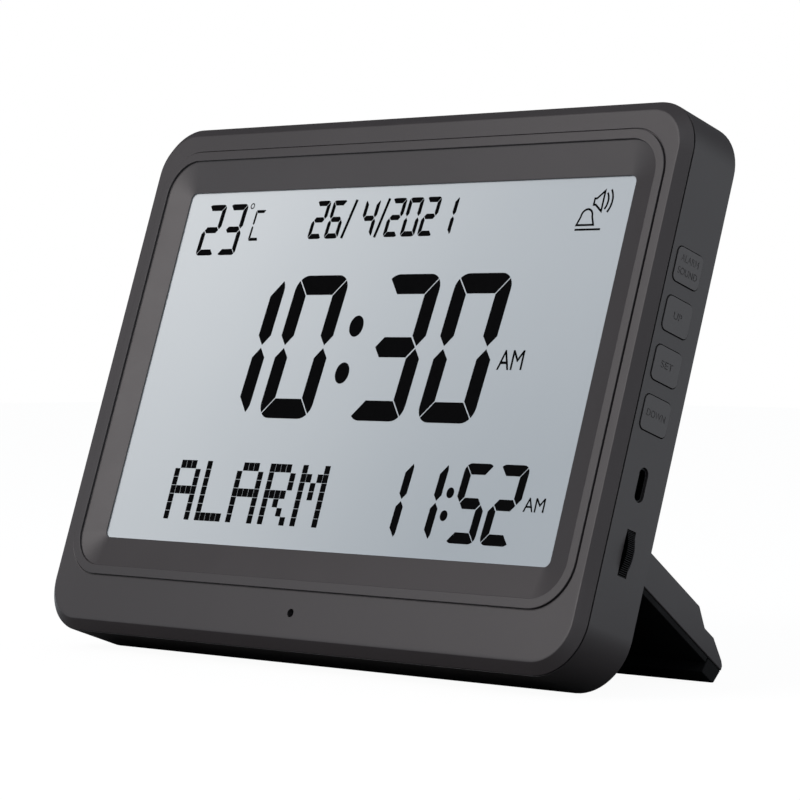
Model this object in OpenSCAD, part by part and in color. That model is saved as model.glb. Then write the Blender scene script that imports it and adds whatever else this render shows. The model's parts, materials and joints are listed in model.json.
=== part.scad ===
// Digital desk clock: a slim case with a large display, leaning back on a fold-away stand.
// The case is drawn upright in its own frame: x to the right, y from the face to the back,
// z up from the case's lower edge. It is then leaned back about its lower rear edge.
// World z = 0 is the table, and the world origin is the middle of the footprint's box.

/* [Case] */
// Width of the case
case_w = 210; // [204:1:230]
// Height of the case, measured along its face
case_h = 157; // [154:1:170]
// Depth of the case, from its face to its back
case_d = 20.8; // [19.7:0.1:24]
// Radius of the case's corners, seen from the front
case_r = 15; // [13:0.5:17]
// Wall thickness of the rear housing
wall = 2; // [1.6:0.1:2.2]
// Bevel where the sides meet the back
back_bevel = 0.4; // [0.4:0.1:1.4]
// Lean of the case from the vertical, in degrees
lean = 18.5; // [15:0.5:23]
// Groove between the front frame and the rear housing
parting_gap = 0.35; // [0.2:0.05:0.6]

/* [Front frame] */
// Depth of the front frame's rim
rim_d = 2.5; // [2.3:0.1:2.7]
// Width of the bevel around the front frame
bevel_w = 3.1; // [2.5:0.1:3.6]
// Plain face between the bevel and the raised lip, left and right
face_side = 3.2; // [2.4:0.1:4.5]
// Plain face above the raised lip
face_top = 5.4; // [4:0.1:7]
// Plain face below the raised lip
face_bottom = 13.6; // [13:0.1:15]
// Width of the raised lip
lip_w = 2.8; // [2:0.1:3.5]
// Height of the raised lip above the face
lip_h = 0.45; // [0.3:0.05:0.8]
// Inner corner radius of the raised lip
lip_r = 10.5; // [9:0.5:14]
// Depth of the upright wall inside the raised lip, below the face
lip_wall = 0.3; // [0.1:0.05:0.5]
// Width of the sloped surround at the left and right
slope_side = 8.2; // [7:0.1:9.5]
// Width of the sloped surround above the window
slope_top = 9.4; // [8:0.1:11]
// Width of the sloped surround below the window
slope_bottom = 9.1; // [8:0.1:10.5]
// Depth of the window's edge below the face
window_d = 2.4; // [2:0.1:2.6]
// Corner radius of the window
window_r = 2; // [1:0.1:3]
// Thickness of the surround at the window's edge
window_edge = 0.3; // [0.3:0.05:0.9]
// Depth of the tongue that locates the front frame in the housing
tongue_d = 1.7; // [1:0.1:1.9]
// Thickness of the locating tongue
tongue_t = 1.4; // [1:0.1:1.8]
// Radius of the microphone hole
mic_hole_r = 1.2; // [0.8:0.1:1.5]
// Height of the microphone hole above the case's lower edge
mic_z = 10.2; // [9.6:0.1:10.8]

/* [Display] */
// Thickness of the foam gasket behind the window
gasket_t = 0.2; // [0.2:0.05:0.5]
// Width of the foam gasket
gasket_w = 2; // [1.5:0.1:2.6]
// Thickness of each polarising film
film_t = 0.2; // [0.15:0.05:0.3]
// Thickness of each sheet of glass
glass_t = 1.1; // [0.7:0.1:1.1]
// Glass hidden behind the surround on each side
glass_margin = 2.9; // [2.7:0.1:3.2]
// Contact ledge of the front glass, below the rear glass
ledge_h = 5.8; // [5:0.1:6.2]
// Thickness of the light guide
guide_t = 2; // [1.5:0.1:2.1]
// Thickness of the reflector sheet
sheet_t = 0.2; // [0.15:0.05:0.3]
// Width of the backlight strip
strip_w = 1.6; // [1.2:0.1:1.8]
// Light sources on the backlight strip
led_count = 8; // [4:1:12]
// Wall of the display carrier around the glass
carrier_wall = 2.8; // [2:0.1:3]
// Thickness of the display carrier's back
carrier_back = 0.8; // [0.6:0.1:1]
// Clearance between loosely fitted display pieces
slack = 0.1; // [0.05:0.05:0.2]

/* [Side buttons] */
// Height of a button, along the case
button_h = 9.3; // [8:0.1:10]
// Width of a button, across the case's depth
button_w = 10.6; // [9.5:0.1:11]
// Corner radius of a button
button_r = 1.6; // [1:0.1:2.5]
// Distance from one button to the next
button_pitch = 13.45; // [13.2:0.05:14]
// Height of the top button's centre above the case's lower edge
button_z = 112.7; // [111:0.1:114]
// Depth of the buttons' centre line behind the face
button_y = 10.3; // [10.3:0.1:10.6]
// How far the buttons stand out of the side wall
button_proud = 0.25; // [0:0.05:0.6]
// Gap around each button
button_gap = 0.3; // [0.2:0.05:0.4]
// Travel of a button
button_travel = 0.5; // [0.3:0.05:0.5]
// Radius of a switch's plunger
plunger_r = 1.7; // [1.2:0.1:2]

/* [Socket and volume wheel] */
// Height of the charging socket's centre above the case's lower edge
usb_z = 53.9; // [53.5:0.1:54.5]
// Depth of the charging socket's centre line behind the face
usb_y = 10.9; // [10.8:0.1:11.2]
// Length of the charging socket's mouth
usb_l = 8.94; // [8.9:0.02:9]
// Width of the charging socket's mouth
usb_w = 3.26; // [3.2:0.02:3.3]
// Height of the volume wheel's centre above the case's lower edge
wheel_z = 35.6; // [35:0.1:36.5]
// Depth of the volume wheel's middle behind the face
wheel_mid_y = 11.1; // [11:0.1:11.3]
// Radius of the volume wheel over its ribs
wheel_r = 12.5; // [11.5:0.1:13]
// Thickness of the volume wheel
wheel_t = 3; // [2.4:0.1:3]
// How far the volume wheel stands out of the side wall
wheel_proud = 1.3; // [0.8:0.1:1.6]
// Number of ribs around the volume wheel
wheel_ribs = 144; // [90:1:160]
// Depth of the ribs
rib_d = 0.35; // [0.2:0.05:0.4]
// Clearance between the volume wheel and its slot
wheel_gap = 0.3; // [0.2:0.05:0.4]
// Radius of the volume control's shaft
shaft_r = 2.5; // [2:0.1:3]
// Running clearance of shafts and pins in their bores
running = 0.05; // [0.02:0.01:0.1]

/* [Stand] */
// Width of the stand
stand_w = 196; // [180:1:200]
// Length of the stand from its hinge axis to its tip
stand_l = 45; // [42:0.2:48]
// Thickness of the stand
stand_t = 8.8; // [8:0.1:9.4]
// Height of the hinge axis above the case's lower edge
hinge_z = 37; // [33:0.5:38]
// Gap between the folded stand and the case
stand_gap = 0.3; // [0.2:0.05:0.6]
// Depth of the finger step in the stand's upper face
finger_step = 3.4; // [2.5:0.1:4]
// Width of the solid margins beside the hollow under the stand's cover
stand_margin = 19.5; // [14:0.5:24]
// Wall thickness of the stand
stand_wall = 2; // [1.6:0.1:2.4]
// Thickness of the stand's cover
cover_t = 1.6; // [1.2:0.1:2]
// Height of the rubber foot strip under the stand's tip
foot_h = 4; // [3.4:0.1:4.6]
// Length of the rubber foot strip short of the stand at each end
foot_short = 0.3; // [0.1:0.1:6]
// Radius of the hinge pins
pin_r = 1.5; // [1.2:0.1:1.8]
// Distance of each hinge lug from the middle
lug_x = 66; // [50:1:72]
// Width of a hinge lug
lug_w = 13; // [9:0.5:16]
// Thickness of the friction washers
washer_t = 0.5; // [0.3:0.05:0.6]
// Reach of each hinge pin past its lug
pin_reach = 8; // [5:0.5:10]

/* [Inside] */
// Thickness of the main board
board_t = 1.6; // [1.2:0.1:1.6]
// Radius of the screw posts
post_r = 3.4; // [3:0.1:3.4]
// Radius of the case screws' shanks
screw_r = 1.2; // [1:0.1:1.3]
// Radius of the case screws' heads
screw_head_r = 2.6; // [2.2:0.1:2.7]
// Radius of the small screws' shanks
small_screw_r = 0.8; // [0.6:0.05:0.9]
// Radius of the speaker
speaker_r = 20; // [16:0.5:20]
// Depth of the speaker's frame
speaker_d = 5; // [4:0.1:5.2]
// Radius of the speaker's magnet
magnet_r = 9; // [7:0.5:10]
// Place of the speaker's middle to the right of the case's middle
speaker_x = 20; // [10:1:24]
// Distance of the speaker's middle below the case's upper edge
speaker_z = 37; // [33:0.5:41]
// Width of each slot of the speaker's grille
grille_slot = 1.6; // [1.2:0.1:2]
// Number of slots in the grille
grille_count = 9; // [5:2:9]
// Width of the battery
battery_w = 58; // [40:1:60]
// Height of the battery
battery_h = 62; // [40:1:64]
// Thickness of the battery
battery_t = 4.8; // [4:0.1:5]
// Thickness of the battery's foam pad
pad_t = 0.8; // [0.5:0.1:1.2]
// Radius of the microphone
mic_r = 3; // [2.4:0.1:3.2]
// Depth of the microphone
mic_d = 2.7; // [2:0.1:3]

/* [Hidden] */
$fn = 64;

// Colours of the pieces as they look in daylight
case_colour = "#434246";
film_colour = "#b9c0c4";
board_colour = "#1f5b3c";
steel_colour = "#a9abad";
black_colour = "#1b1b1d";

// A hair of extra depth for cutters, so that they break through
cut = 0.5;
// Face left whole in front of the screws' blind holes
screw_skin = 1;
// Heads of the small screws, and how far their shanks bite
small_head_r = 1.7;
small_head_t = 1.1;
small_bite = 2.6;
// Clearance around a pressed or screwed piece inside another
press = 0.02;
half_w = case_w / 2;
back_in = case_d - wall;
side_in = half_w - wall;

// The sloped surround and the window, measured from the case's edges
lip_x = half_w - bevel_w - face_side - lip_w;
lip_z0 = bevel_w + face_bottom + lip_w;
lip_z1 = case_h - bevel_w - face_top - lip_w;
win_x = lip_x - slope_side;
win_z0 = lip_z0 + slope_bottom;
win_z1 = lip_z1 - slope_top;

// The stack of display layers, from the window's edge backwards
gasket_y = window_d + window_edge;
film_y = gasket_y + gasket_t;
front_glass_y = film_y + film_t;
rear_glass_y = front_glass_y + glass_t;
rear_film_y = rear_glass_y + glass_t;
guide_y = rear_film_y + film_t + slack;
sheet_y = guide_y + guide_t;
shelf_y = sheet_y + sheet_t;
carrier_y = shelf_y + carrier_back;
glass_x = win_x + glass_margin;
glass_z0 = win_z0 - glass_margin;
glass_z1 = win_z1 + glass_margin;
ledge_z = glass_z0 - ledge_h;
carrier_foot = 1.8;
carrier_head = 2.2;
carrier_x = glass_x + carrier_wall;
carrier_z0 = ledge_z - carrier_foot;
carrier_z1 = glass_z1 + carrier_head;
carrier_r = 1;

// Screw ears of the display carrier, above and below it
ear_r = 2.4;
ear_t = 1.4;
ear_root = 1;
ear_y = carrier_y - ear_t;
ear_top = carrier_z1 + ear_r;
ear_bottom = carrier_z0 - ear_r;
ear_x = 70;
ears = [[-ear_x, ear_top], [0, ear_top], [ear_x, ear_top], [-ear_x, ear_bottom], [ear_x, ear_bottom]];

// The main board: a strip under the display and a column behind the buttons
switch_rise = 2.8;
board_y = button_y + switch_rise;
board_back = board_y + board_t;
board_z0 = mic_z;
board_strip_z = 48;
board_over = 12;
board_top_z = button_z + board_over;
board_side = 2;
board_far = 9;
board_x1 = side_in - board_side;
board_x0 = board_far - side_in;
board_column_x = 54;
standoff_r = 2.6;
standoff_in = 5.5;
standoff_x = 14;
standoffs = [
    [board_x0 + standoff_in, board_strip_z - standoff_in], [-standoff_x, board_strip_z - standoff_in],
    [board_column_x + standoff_in, board_strip_z], [board_column_x + standoff_in, board_top_z - standoff_in],
    [carrier_x - standoff_in, board_top_z - standoff_in]
];

// The case screws run from the back into posts on the front frame
post_inset = 8.6;
post_xs = half_w - post_inset;
low_post_x = 40;
low_post_z = 6.2;
posts = [
    [-post_xs, post_inset], [post_xs, post_inset],
    [-post_xs, case_h - post_inset], [post_xs, case_h - post_inset],
    [-low_post_x, low_post_z], [low_post_x, low_post_z]
];
post_y = 11.9;
tube_wall = 0.9;
tube_r = post_r + tube_wall;
tube_y = post_y + slack;
tube_gap = 0.4;
screw_sunk = 5;
screw_seat = case_d - screw_sunk;
screw_head_t = 2;
screw_short = 2.5;
screw_tip = rim_d + screw_short;
screw_free = 0.2;
cross_l = 3;
cross_w = 0.6;

// Buttons, their switches and the parts that move between them
button_zs = [for (i = [0 : 3]) button_z - i * button_pitch];
flange_t = 1.2;
flange_over = 1.1;
flange_x = side_in - button_gap;
switch_l = 4;
switch_x = side_in - switch_l;
switch_half = 3.4;
switch_front = 2.2;
stem_gap = 1.2;
stem_x = switch_x + stem_gap;
stem_r = 2.2;
plunger_sunk = 0.8;
plunger_back = switch_x - plunger_sunk;
plunger_free = 0.3;
plunger_bore = plunger_back - button_travel - plunger_free;

// The volume wheel turns about an axis that runs from front to back
wheel_x = half_w + wheel_proud - wheel_r;
wheel_y = wheel_mid_y - wheel_t / 2;
wheel_back = wheel_y + wheel_t;
hub_l = 1.4;
hub_end = wheel_back + wheel_gap + hub_l;
control_half = 6.2;
control_y = wheel_back + wheel_gap;
control_over = 0.6;
wheel_sink = 1.1;
wheel_screw_seat = wheel_y + wheel_sink;
wheel_screw_head = 1.9;
wheel_head_t = 0.9;

// The stand, in its own frame: s runs from the hinge axis to the tip, n down from mid-thickness
half_t = stand_t / 2;
stand_off = stand_gap + half_t;
lift = -back_bevel * sin(lean);
hinge_height = hinge_z * cos(lean) - stand_off * sin(lean) + lift;
foot_in = 0.5;
foot_w = 6.4;
foot_s = stand_l - foot_in;
foot_n = half_t + foot_h;
droop = asin(hinge_height / norm([foot_s, foot_n])) - atan2(foot_n, foot_s);
swing = droop - lean;
heel_s = -half_t * (1 - sin(swing)) / cos(swing);

// The finger step near the tip, then three facets that round the tip down
step_back = 18.1;
step_slope = 5.4;
step_flat = 4.7;
facet_l = 3.2;
facet_n = 1.5;
nose_in = 0.4;
nose_n = 1.4;
step_s = stand_l - step_back;
step_n = finger_step - half_t;
slope_s = step_s + step_slope;
flat_s = slope_s + step_flat;
stand_profile = [
    [0, -half_t], [step_s, -half_t], [slope_s, step_n], [flat_s, step_n],
    [flat_s + facet_l, step_n + facet_n], [flat_s + 2 * facet_l, step_n + 2 * facet_n],
    [stand_l - nose_in, half_t - nose_n], [stand_l, half_t],
    [heel_s, half_t], [-half_t * cos(swing), half_t * sin(swing)]
];

// The stand's cover: a full-width plate with a tongue in the mouth of the hollow
cover_back = 0.9;
cover_gap = 0.4;
cover_s0 = half_t - cover_back;
cover_s1 = stand_l - foot_w - cover_gap;
cover_tongue = 1.2;
hollow_in = 3.8;
hollow_x = stand_w / 2 - stand_margin;
hollow_s0 = half_t + hollow_in;
hollow_s1 = step_s - stand_wall;
notch_w = lug_w + 2 * (washer_t + stand_gap);
notch_over = 0.9;
notch_s = half_t + notch_over;
lug_in = 0.3;
lug_r = half_t - lug_in;
lug_root = 0.4;
washer_in = 0.8;
washer_r = half_t - washer_in;

// The middle of the footprint's box, in the leaned frame
front_y = bevel_w * sin(lean) - case_d * cos(lean);
top_y = (case_h - back_bevel) * sin(lean);
tip_y = stand_off * cos(lean) + hinge_z * sin(lean)
    + (stand_l - nose_in) * cos(droop) - (half_t - nose_n) * sin(droop);
mid_y = (front_y + max(top_y, tip_y)) / 2;

// Leans a piece of the case back and sets it on the table
module leaned() {
    translate([0, -mid_y, lift]) rotate([-lean, 0, 0]) translate([0, -case_d, 0]) children();
}

// Turns a piece of the stand out to its open place
module opened() {
    leaned() translate([0, case_d + stand_off, hinge_z]) rotate([-swing, 0, 0]) children();
}

// A flat rectangle with round corners
module rounded(w, h, r) {
    square([w - 2 * r, h], center = true);
    square([w, h - 2 * r], center = true);
    for (sx = [-1, 1], sz = [-1, 1])
        translate([sx * (w / 2 - r), sz * (h / 2 - r)]) circle(r);
}

// A plate that stands across the case's depth, from y0 to y1
module plate(x0, x1, z0, z1, r, y0, y1) {
    translate([(x0 + x1) / 2, y1, (z0 + z1) / 2]) rotate([90, 0, 0])
        linear_extrude(y1 - y0) rounded(x1 - x0, z1 - z0, r);
}

// A block between two corners
module block(x0, x1, y0, y1, z0, z1) {
    translate([x0, y0, z0]) cube([x1 - x0, y1 - y0, z1 - z0]);
}

// The case's outline, taken in by an even amount, from y0 to y1
module outline(inset, y0, y1) {
    plate(inset - half_w, half_w - inset, inset, case_h - inset, case_r - inset, y0, y1);
}

// A round bar along the case's depth, from y0 to y1
module bar_y(x, z, r, y0, y1) {
    translate([x, y1, z]) rotate([90, 0, 0]) cylinder(r = r, h = y1 - y0);
}

// A round bar along x, from x0 to x1
module bar_x(x0, x1, y, z, r) {
    translate([x0, y, z]) rotate([0, 90, 0]) cylinder(r = r, h = x1 - x0);
}

// The case's outline with a bevelled edge: inset e0 at y0 and e1 at y1
module bevelled(e0, e1, y0, y1) {
    d = y1 - y0;
    for (x = [case_r - half_w, half_w - case_r], z = [case_r, case_h - case_r])
        translate([x, y0, z]) rotate([-90, 0, 0]) cylinder(r1 = case_r - e0, r2 = case_r - e1, h = d);
    translate([case_r - half_w, 0, 0]) rotate([90, 0, 90]) linear_extrude(case_w - 2 * case_r)
        polygon([[y0, e0], [y1, e1], [y1, case_h - e1], [y0, case_h - e0]]);
    translate([0, 0, case_r]) linear_extrude(case_h - 2 * case_r)
        polygon([[e0 - half_w, y0], [half_w - e0, y0], [half_w - e1, y1], [e1 - half_w, y1]]);
}

// A stadium-shaped bar along x, long along z
module stadium_x(x0, x1, y, z, length, width) {
    translate([x0, y, z]) rotate([90, 0, 90]) linear_extrude(x1 - x0) {
        square([width, length - width], center = true);
        for (s = [-1, 1]) translate([0, s * (length - width) / 2]) circle(width / 2);
    }
}

// One edge of a band along a route: each corner is mitred, and reach is the distance to the left
function leftward(step) = [-step[1], step[0]] / norm(step);
function band_edge(route, reach) = [
    for (i = [0 : len(route) - 1])
        let (a = max(i, 1), b = min(i, len(route) - 2),
            n = leftward(route[a] - route[a - 1]) + leftward(route[b + 1] - route[b]))
        route[i] + 2 * reach * n / (n * n)
];

// A flat twin lead laid along a route in the x-z plane, from y0 to y1
module flat_lead(route, width, y0, y1) {
    right = band_edge(route, -width / 2);
    translate([0, y1, 0]) rotate([90, 0, 0]) linear_extrude(y1 - y0)
        polygon(concat(band_edge(route, width / 2), [for (i = [len(right) - 1 : -1 : 0]) right[i]]));
}

module front_frame() color(case_colour) leaned() difference() {
    union() {
        difference() {
            union() {
                bevelled(bevel_w, 0, 0, rim_d);
                raised_lip();
                carrier_seat(rim_d - cut, gasket_y);
            }
            carrier_seat(gasket_y, gasket_y + cut);
        }
        difference() {
            outline(wall + button_gap, rim_d - cut, rim_d + tongue_d);
            outline(wall + button_gap + tongue_t, rim_d - 2 * cut, rim_d + tongue_d + cut);
        }
        for (p = posts) bar_y(p[0], p[1], post_r, rim_d - cut, post_y);
        for (p = ears) bar_y(p[0], p[1], ear_r, rim_d - cut, ear_y);
    }
    surround_cut();
    plate(-win_x, win_x, win_z0, win_z1, window_r, window_d - cut, gasket_y + cut);
    bar_y(0, mic_z, mic_hole_r, -cut, rim_d + tongue_d + cut);
    for (p = posts) bar_y(p[0], p[1], screw_r, rim_d + screw_skin, post_y + cut);
    for (p = ears) bar_y(p[0], p[1], small_screw_r, rim_d + screw_skin, ear_y + cut);
}

// The flat place on the frame's back where the display's carrier sits
module carrier_seat(y0, y1) {
    plate(-carrier_x - slack, carrier_x + slack, carrier_z0 - slack, carrier_z1 + slack, carrier_r, y0, y1);
}

// The raised lip, still solid inside
module raised_lip() {
    plate(-lip_x - lip_w, lip_x + lip_w, lip_z0 - lip_w, lip_z1 + lip_w, lip_r + lip_w, -lip_h, cut);
}

// The recess inside the lip: an upright wall, then a slope to the window's edge
module surround_cut() {
    hair = 0.02;
    plate(-lip_x, lip_x, lip_z0, lip_z1, lip_r, -lip_h - cut, lip_wall);
    hull() {
        plate(-lip_x, lip_x, lip_z0, lip_z1, lip_r, lip_wall - hair, lip_wall, $fn = 32);
        plate(-win_x, win_x, win_z0, win_z1, window_r, window_d - hair, window_d, $fn = 32);
    }
}

module display_gasket() color("#c4c8ca") leaned() difference() {
    plate(-win_x - gasket_w, win_x + gasket_w, win_z0 - gasket_w, win_z1 + gasket_w,
        window_r, gasket_y, film_y);
    plate(-win_x, win_x, win_z0, win_z1, window_r, gasket_y - cut, film_y + cut);
}

module front_polariser() color(film_colour) leaned()
    block(-glass_x + slack, glass_x - slack, film_y, front_glass_y, glass_z0 + slack, glass_z1 - slack);

module front_glass() color(film_colour) leaned()
    block(-glass_x, glass_x, front_glass_y, rear_glass_y, ledge_z, glass_z1);

module rear_glass() color(film_colour) leaned()
    block(-glass_x, glass_x, rear_glass_y, rear_film_y, glass_z0, glass_z1);

module rear_polariser() color("#8f969a") leaned()
    block(-glass_x + slack, glass_x - slack, rear_film_y, guide_y - slack,
        glass_z0 + slack, glass_z1 - slack);

module light_guide() color("#e9eef0") leaned()
    block(-glass_x, glass_x, guide_y, sheet_y, glass_z0, glass_z1 - strip_w - slack);

module reflector_sheet() color("white") leaned()
    block(-glass_x, glass_x, sheet_y, shelf_y, glass_z0, glass_z1);

module backlight_strip() color("#dfe3e0") leaned() {
    led_pitch = 2 * glass_x / led_count;
    led_half = 1.4;
    strip_t = 0.6;
    strip_y = guide_y + strip_t;
    block(-glass_x, glass_x, guide_y, strip_y, glass_z1 - strip_w, glass_z1);
    for (i = [0 : led_count - 1])
        translate([(i + 0.5) * led_pitch - glass_x, 0, 0])
            block(-led_half, led_half, strip_y, sheet_y, glass_z1 - strip_w, glass_z1);
}

module display_carrier() color("#d9d9d6") leaned() difference() {
    union() {
        block(-carrier_x, carrier_x, gasket_y, carrier_y, carrier_z0, carrier_z1);
        for (p = ears) {
            bar_y(p[0], p[1], ear_r, ear_y, carrier_y);
            root = p[1] == ear_top ? carrier_z1 - ear_root : carrier_z0 + ear_root;
            block(p[0] - ear_r, p[0] + ear_r, ear_y, carrier_y, min(p[1], root), max(p[1], root));
        }
        for (p = standoffs) bar_y(p[0], p[1], standoff_r, carrier_y - carrier_back, board_y);
    }
    block(-glass_x - slack, glass_x + slack, gasket_y - cut, shelf_y, ledge_z - slack, glass_z1 + slack);
    block(-contact_x - slack, contact_x + slack, shelf_y - cut, carrier_y + cut,
        contact_z0 - slack, contact_z1 + slack);
    for (p = ears) bar_y(p[0], p[1], small_screw_r, ear_y - cut, carrier_y + cut);
    for (p = standoffs) bar_y(p[0], p[1], small_screw_r, carrier_y, board_y + cut);
}

module carrier_screws() color(steel_colour) leaned() for (p = ears) {
    bar_y(p[0], p[1], small_screw_r, ear_y - small_bite, carrier_y);
    bar_y(p[0], p[1], small_head_r, carrier_y, carrier_y + small_head_t);
}

// The rubber contact strip stands between the glass's ledge and the main board
contact_x = 74;
contact_h = 2.6;
contact_up = 0.9;
contact_z0 = ledge_z + contact_up;
contact_z1 = contact_z0 + contact_h;
module contact_strip() color("#5f6468") leaned()
    block(-contact_x, contact_x, rear_glass_y, board_y, contact_z0, contact_z1);

module main_board() color(board_colour) leaned() difference() {
    union() {
        block(board_x0, board_x1, board_y, board_back, board_z0, board_strip_z);
        block(board_column_x, board_x1, board_y, board_back, board_strip_z - cut, board_top_z);
    }
    block(wheel_x - control_half, board_x1 + cut, board_y - cut, board_back + cut,
        wheel_z - control_half, wheel_z + control_half);
    for (p = standoffs) bar_y(p[0], p[1], small_screw_r, board_y - cut, board_back + cut);
    for (p = posts) bar_y(p[0], p[1], tube_r + tube_gap, board_y - cut, board_back + cut);
}

module board_screws() color(steel_colour) leaned() for (p = standoffs) {
    bar_y(p[0], p[1], small_screw_r, board_y - small_bite, board_back);
    bar_y(p[0], p[1], small_head_r, board_back, board_back + small_head_t);
}

// The main chip under its round drop of resin, a chip beside it and one on the column
drop_x = 20;
drop_z = 26;
drop_r = 6.5;
drop_t = 1.2;
chip_t = 1.5;
chip_w = 8;
chip_h = 10;
chip_x = 36;
chip_z = 20;
column_chip_x = board_column_x + chip_w;
column_chip_z = 84;
module board_chips() color(black_colour) leaned() {
    bar_y(drop_x, drop_z, drop_r, board_back, board_back + drop_t);
    block(chip_x, chip_x + chip_w, board_back, board_back + chip_t, chip_z, chip_z + chip_h);
    block(column_chip_x, column_chip_x + chip_w, board_back, board_back + chip_t,
        column_chip_z, column_chip_z + chip_w);
}

// Two pairs of capacitors
capacitor_z = 30;
capacitor_r = 2;
capacitor_l = 2.6;
capacitor_pitch = 6;
capacitor_left_x = -52;
capacitor_right_x = 64;
module board_capacitors() color("#3b4a7a") leaned()
    for (x = [capacitor_left_x, capacitor_right_x], i = [0, 1])
        bar_y(x + i * capacitor_pitch, capacitor_z, capacitor_r, board_back, board_back + capacitor_l);

// One connector for the speaker's lead and one for the battery's
plug_in = 2;
plug_x = board_column_x + plug_in;
plug_w = 6;
plug_h = 7;
plug_t = 2.4;
speaker_plug_z = 106.5;
battery_plug_z = 77.5;
module board_connectors() color("#ece7d8") leaned() for (z = [speaker_plug_z, battery_plug_z])
    block(plug_x, plug_x + plug_w, board_back, board_back + plug_t, z - plug_h / 2, z + plug_h / 2);

sensor_x = -82;
sensor_z = 20;
sensor_r = 1.2;
sensor_rise = 1.6;
sensor_leg = 0.2;
sensor_half = 0.5;
module temperature_sensor() color("#1c2a4a") leaned() {
    translate([sensor_x, board_back + sensor_rise, sensor_z]) sphere(sensor_r);
    for (x = [sensor_x - sensor_half, sensor_x + sensor_half])
        bar_y(x, sensor_z, sensor_leg, board_back, board_back + sensor_rise);
}

module button_switches() color("#2a2a2c") leaned() for (z = button_zs) difference() {
    block(switch_x - switch_l, switch_x, button_y - switch_front, board_y, z - switch_half, z + switch_half);
    bar_x(plunger_bore, switch_x + cut, button_y, z, plunger_r + running);
}

// One button: a cap in the side wall, a flange behind the wall and a stem to its switch
module side_button(z) color(case_colour) leaned() {
    translate([flange_x - cut, button_y, z]) rotate([90, 0, 90])
        linear_extrude(half_w + button_proud - flange_x + cut) rounded(button_w, button_h, button_r);
    block(flange_x - flange_t, flange_x, button_y - button_w / 2, button_y + button_w / 2,
        z - button_h / 2 - flange_over, z + button_h / 2 + flange_over);
    bar_x(stem_x, flange_x - flange_t + cut, button_y, z, stem_r);
}
module alarm_button() side_button(button_zs[0]);
module up_button() side_button(button_zs[1]);
module set_button() side_button(button_zs[2]);
module down_button() side_button(button_zs[3]);

module switch_plunger(z) color("#7a2f22") leaned()
    bar_x(plunger_back, stem_x, button_y, z, plunger_r);
module alarm_plunger() switch_plunger(button_zs[0]);
module up_plunger() switch_plunger(button_zs[1]);
module set_plunger() switch_plunger(button_zs[2]);
module down_plunger() switch_plunger(button_zs[3]);

usb_sunk = 0.6;
usb_mouth_x = half_w - usb_sunk;
usb_depth = 7.3;
usb_shell = 0.3;
usb_back = 1;
usb_floor = usb_mouth_x - usb_depth + usb_back;
usb_free = 0.4;
usb_leg_in = 0.4;
usb_leg_x = usb_floor - usb_leg_in;
usb_leg_l = 3.4;
usb_leg_z = 2;
usb_leg_half = 0.8;
tongue_half_z = 3.3;
tongue_half_y = 0.35;
tongue_short = 1.2;
module usb_socket() color(steel_colour) leaned() {
    difference() {
        stadium_x(usb_mouth_x - usb_depth, usb_mouth_x, usb_y, usb_z, usb_l, usb_w);
        stadium_x(usb_floor, usb_mouth_x + cut, usb_y, usb_z,
            usb_l - 2 * usb_shell, usb_w - 2 * usb_shell);
    }
    for (z = [usb_z - usb_leg_z, usb_z + usb_leg_z])
        block(usb_leg_x, usb_leg_x + usb_leg_l, usb_y + usb_w / 2 - usb_shell, board_y,
            z - usb_leg_half, z + usb_leg_half);
}

module usb_tongue() color(black_colour) leaned()
    block(usb_floor, usb_mouth_x - tongue_short, usb_y - tongue_half_y, usb_y + tongue_half_y,
        usb_z - tongue_half_z, usb_z + tongue_half_z);

// Outline of the ribbed wheel: the foot and the crest of each rib
function rib_point(i) =
    let (angle = i * 180 / wheel_ribs)
    (i % 2 == 0 ? wheel_r - rib_d : wheel_r) * [cos(angle), sin(angle)];
module volume_wheel() color(black_colour) leaned() difference() {
    union() {
        translate([wheel_x, wheel_back, wheel_z]) rotate([90, 0, 0])
            linear_extrude(wheel_t) polygon([for (i = [0 : 2 * wheel_ribs - 1]) rib_point(i)]);
        bar_y(wheel_x, wheel_z, shaft_r, wheel_back - cut, hub_end);
    }
    bar_y(wheel_x, wheel_z, wheel_screw_head + wheel_gap, wheel_y - cut, wheel_screw_seat);
    bar_y(wheel_x, wheel_z, small_screw_r, wheel_y, hub_end - cut);
}

module wheel_screw() color(steel_colour) leaned() {
    bar_y(wheel_x, wheel_z, wheel_screw_head, wheel_screw_seat - wheel_head_t, wheel_screw_seat);
    bar_y(wheel_x, wheel_z, small_screw_r, wheel_screw_seat, hub_end - 2 * press - cut);
}

module volume_control() color("#2a2a2c") leaned() difference() {
    block(wheel_x - control_half, board_x1, control_y, board_back + control_over,
        wheel_z - control_half, wheel_z + control_half);
    bar_y(wheel_x, wheel_z, shaft_r + running, control_y - cut, hub_end + slack);
}

// The speaker lies on its gasket behind the grille, its cone towards the back
speaker_mid_z = case_h - speaker_z;
cone_rim = 2.2;
cone_r = speaker_r - cone_rim;
cone_t = 0.4;
cone_sunk = 0.3;
coil_r = 5;
basket_r = 6.5;
basket_floor = 1;
magnet_t = 2.6;
speaker_back = back_in - gasket_t;
speaker_front = speaker_back - speaker_d;
cone_y = speaker_back - cone_sunk - cone_t;
ring_t = 1.6;
ring_gap = 0.2;
ring_in = 1;
module speaker_frame() color("#3a3a3c") leaned() difference() {
    bar_y(speaker_x, speaker_mid_z, speaker_r, speaker_front, speaker_back);
    translate([speaker_x, speaker_front + basket_floor, speaker_mid_z]) rotate([-90, 0, 0])
        cylinder(r1 = basket_r, r2 = cone_r, h = cone_y - speaker_front - basket_floor + 2 * press);
    bar_y(speaker_x, speaker_mid_z, cone_r, cone_y, speaker_back + cut);
}

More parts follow.
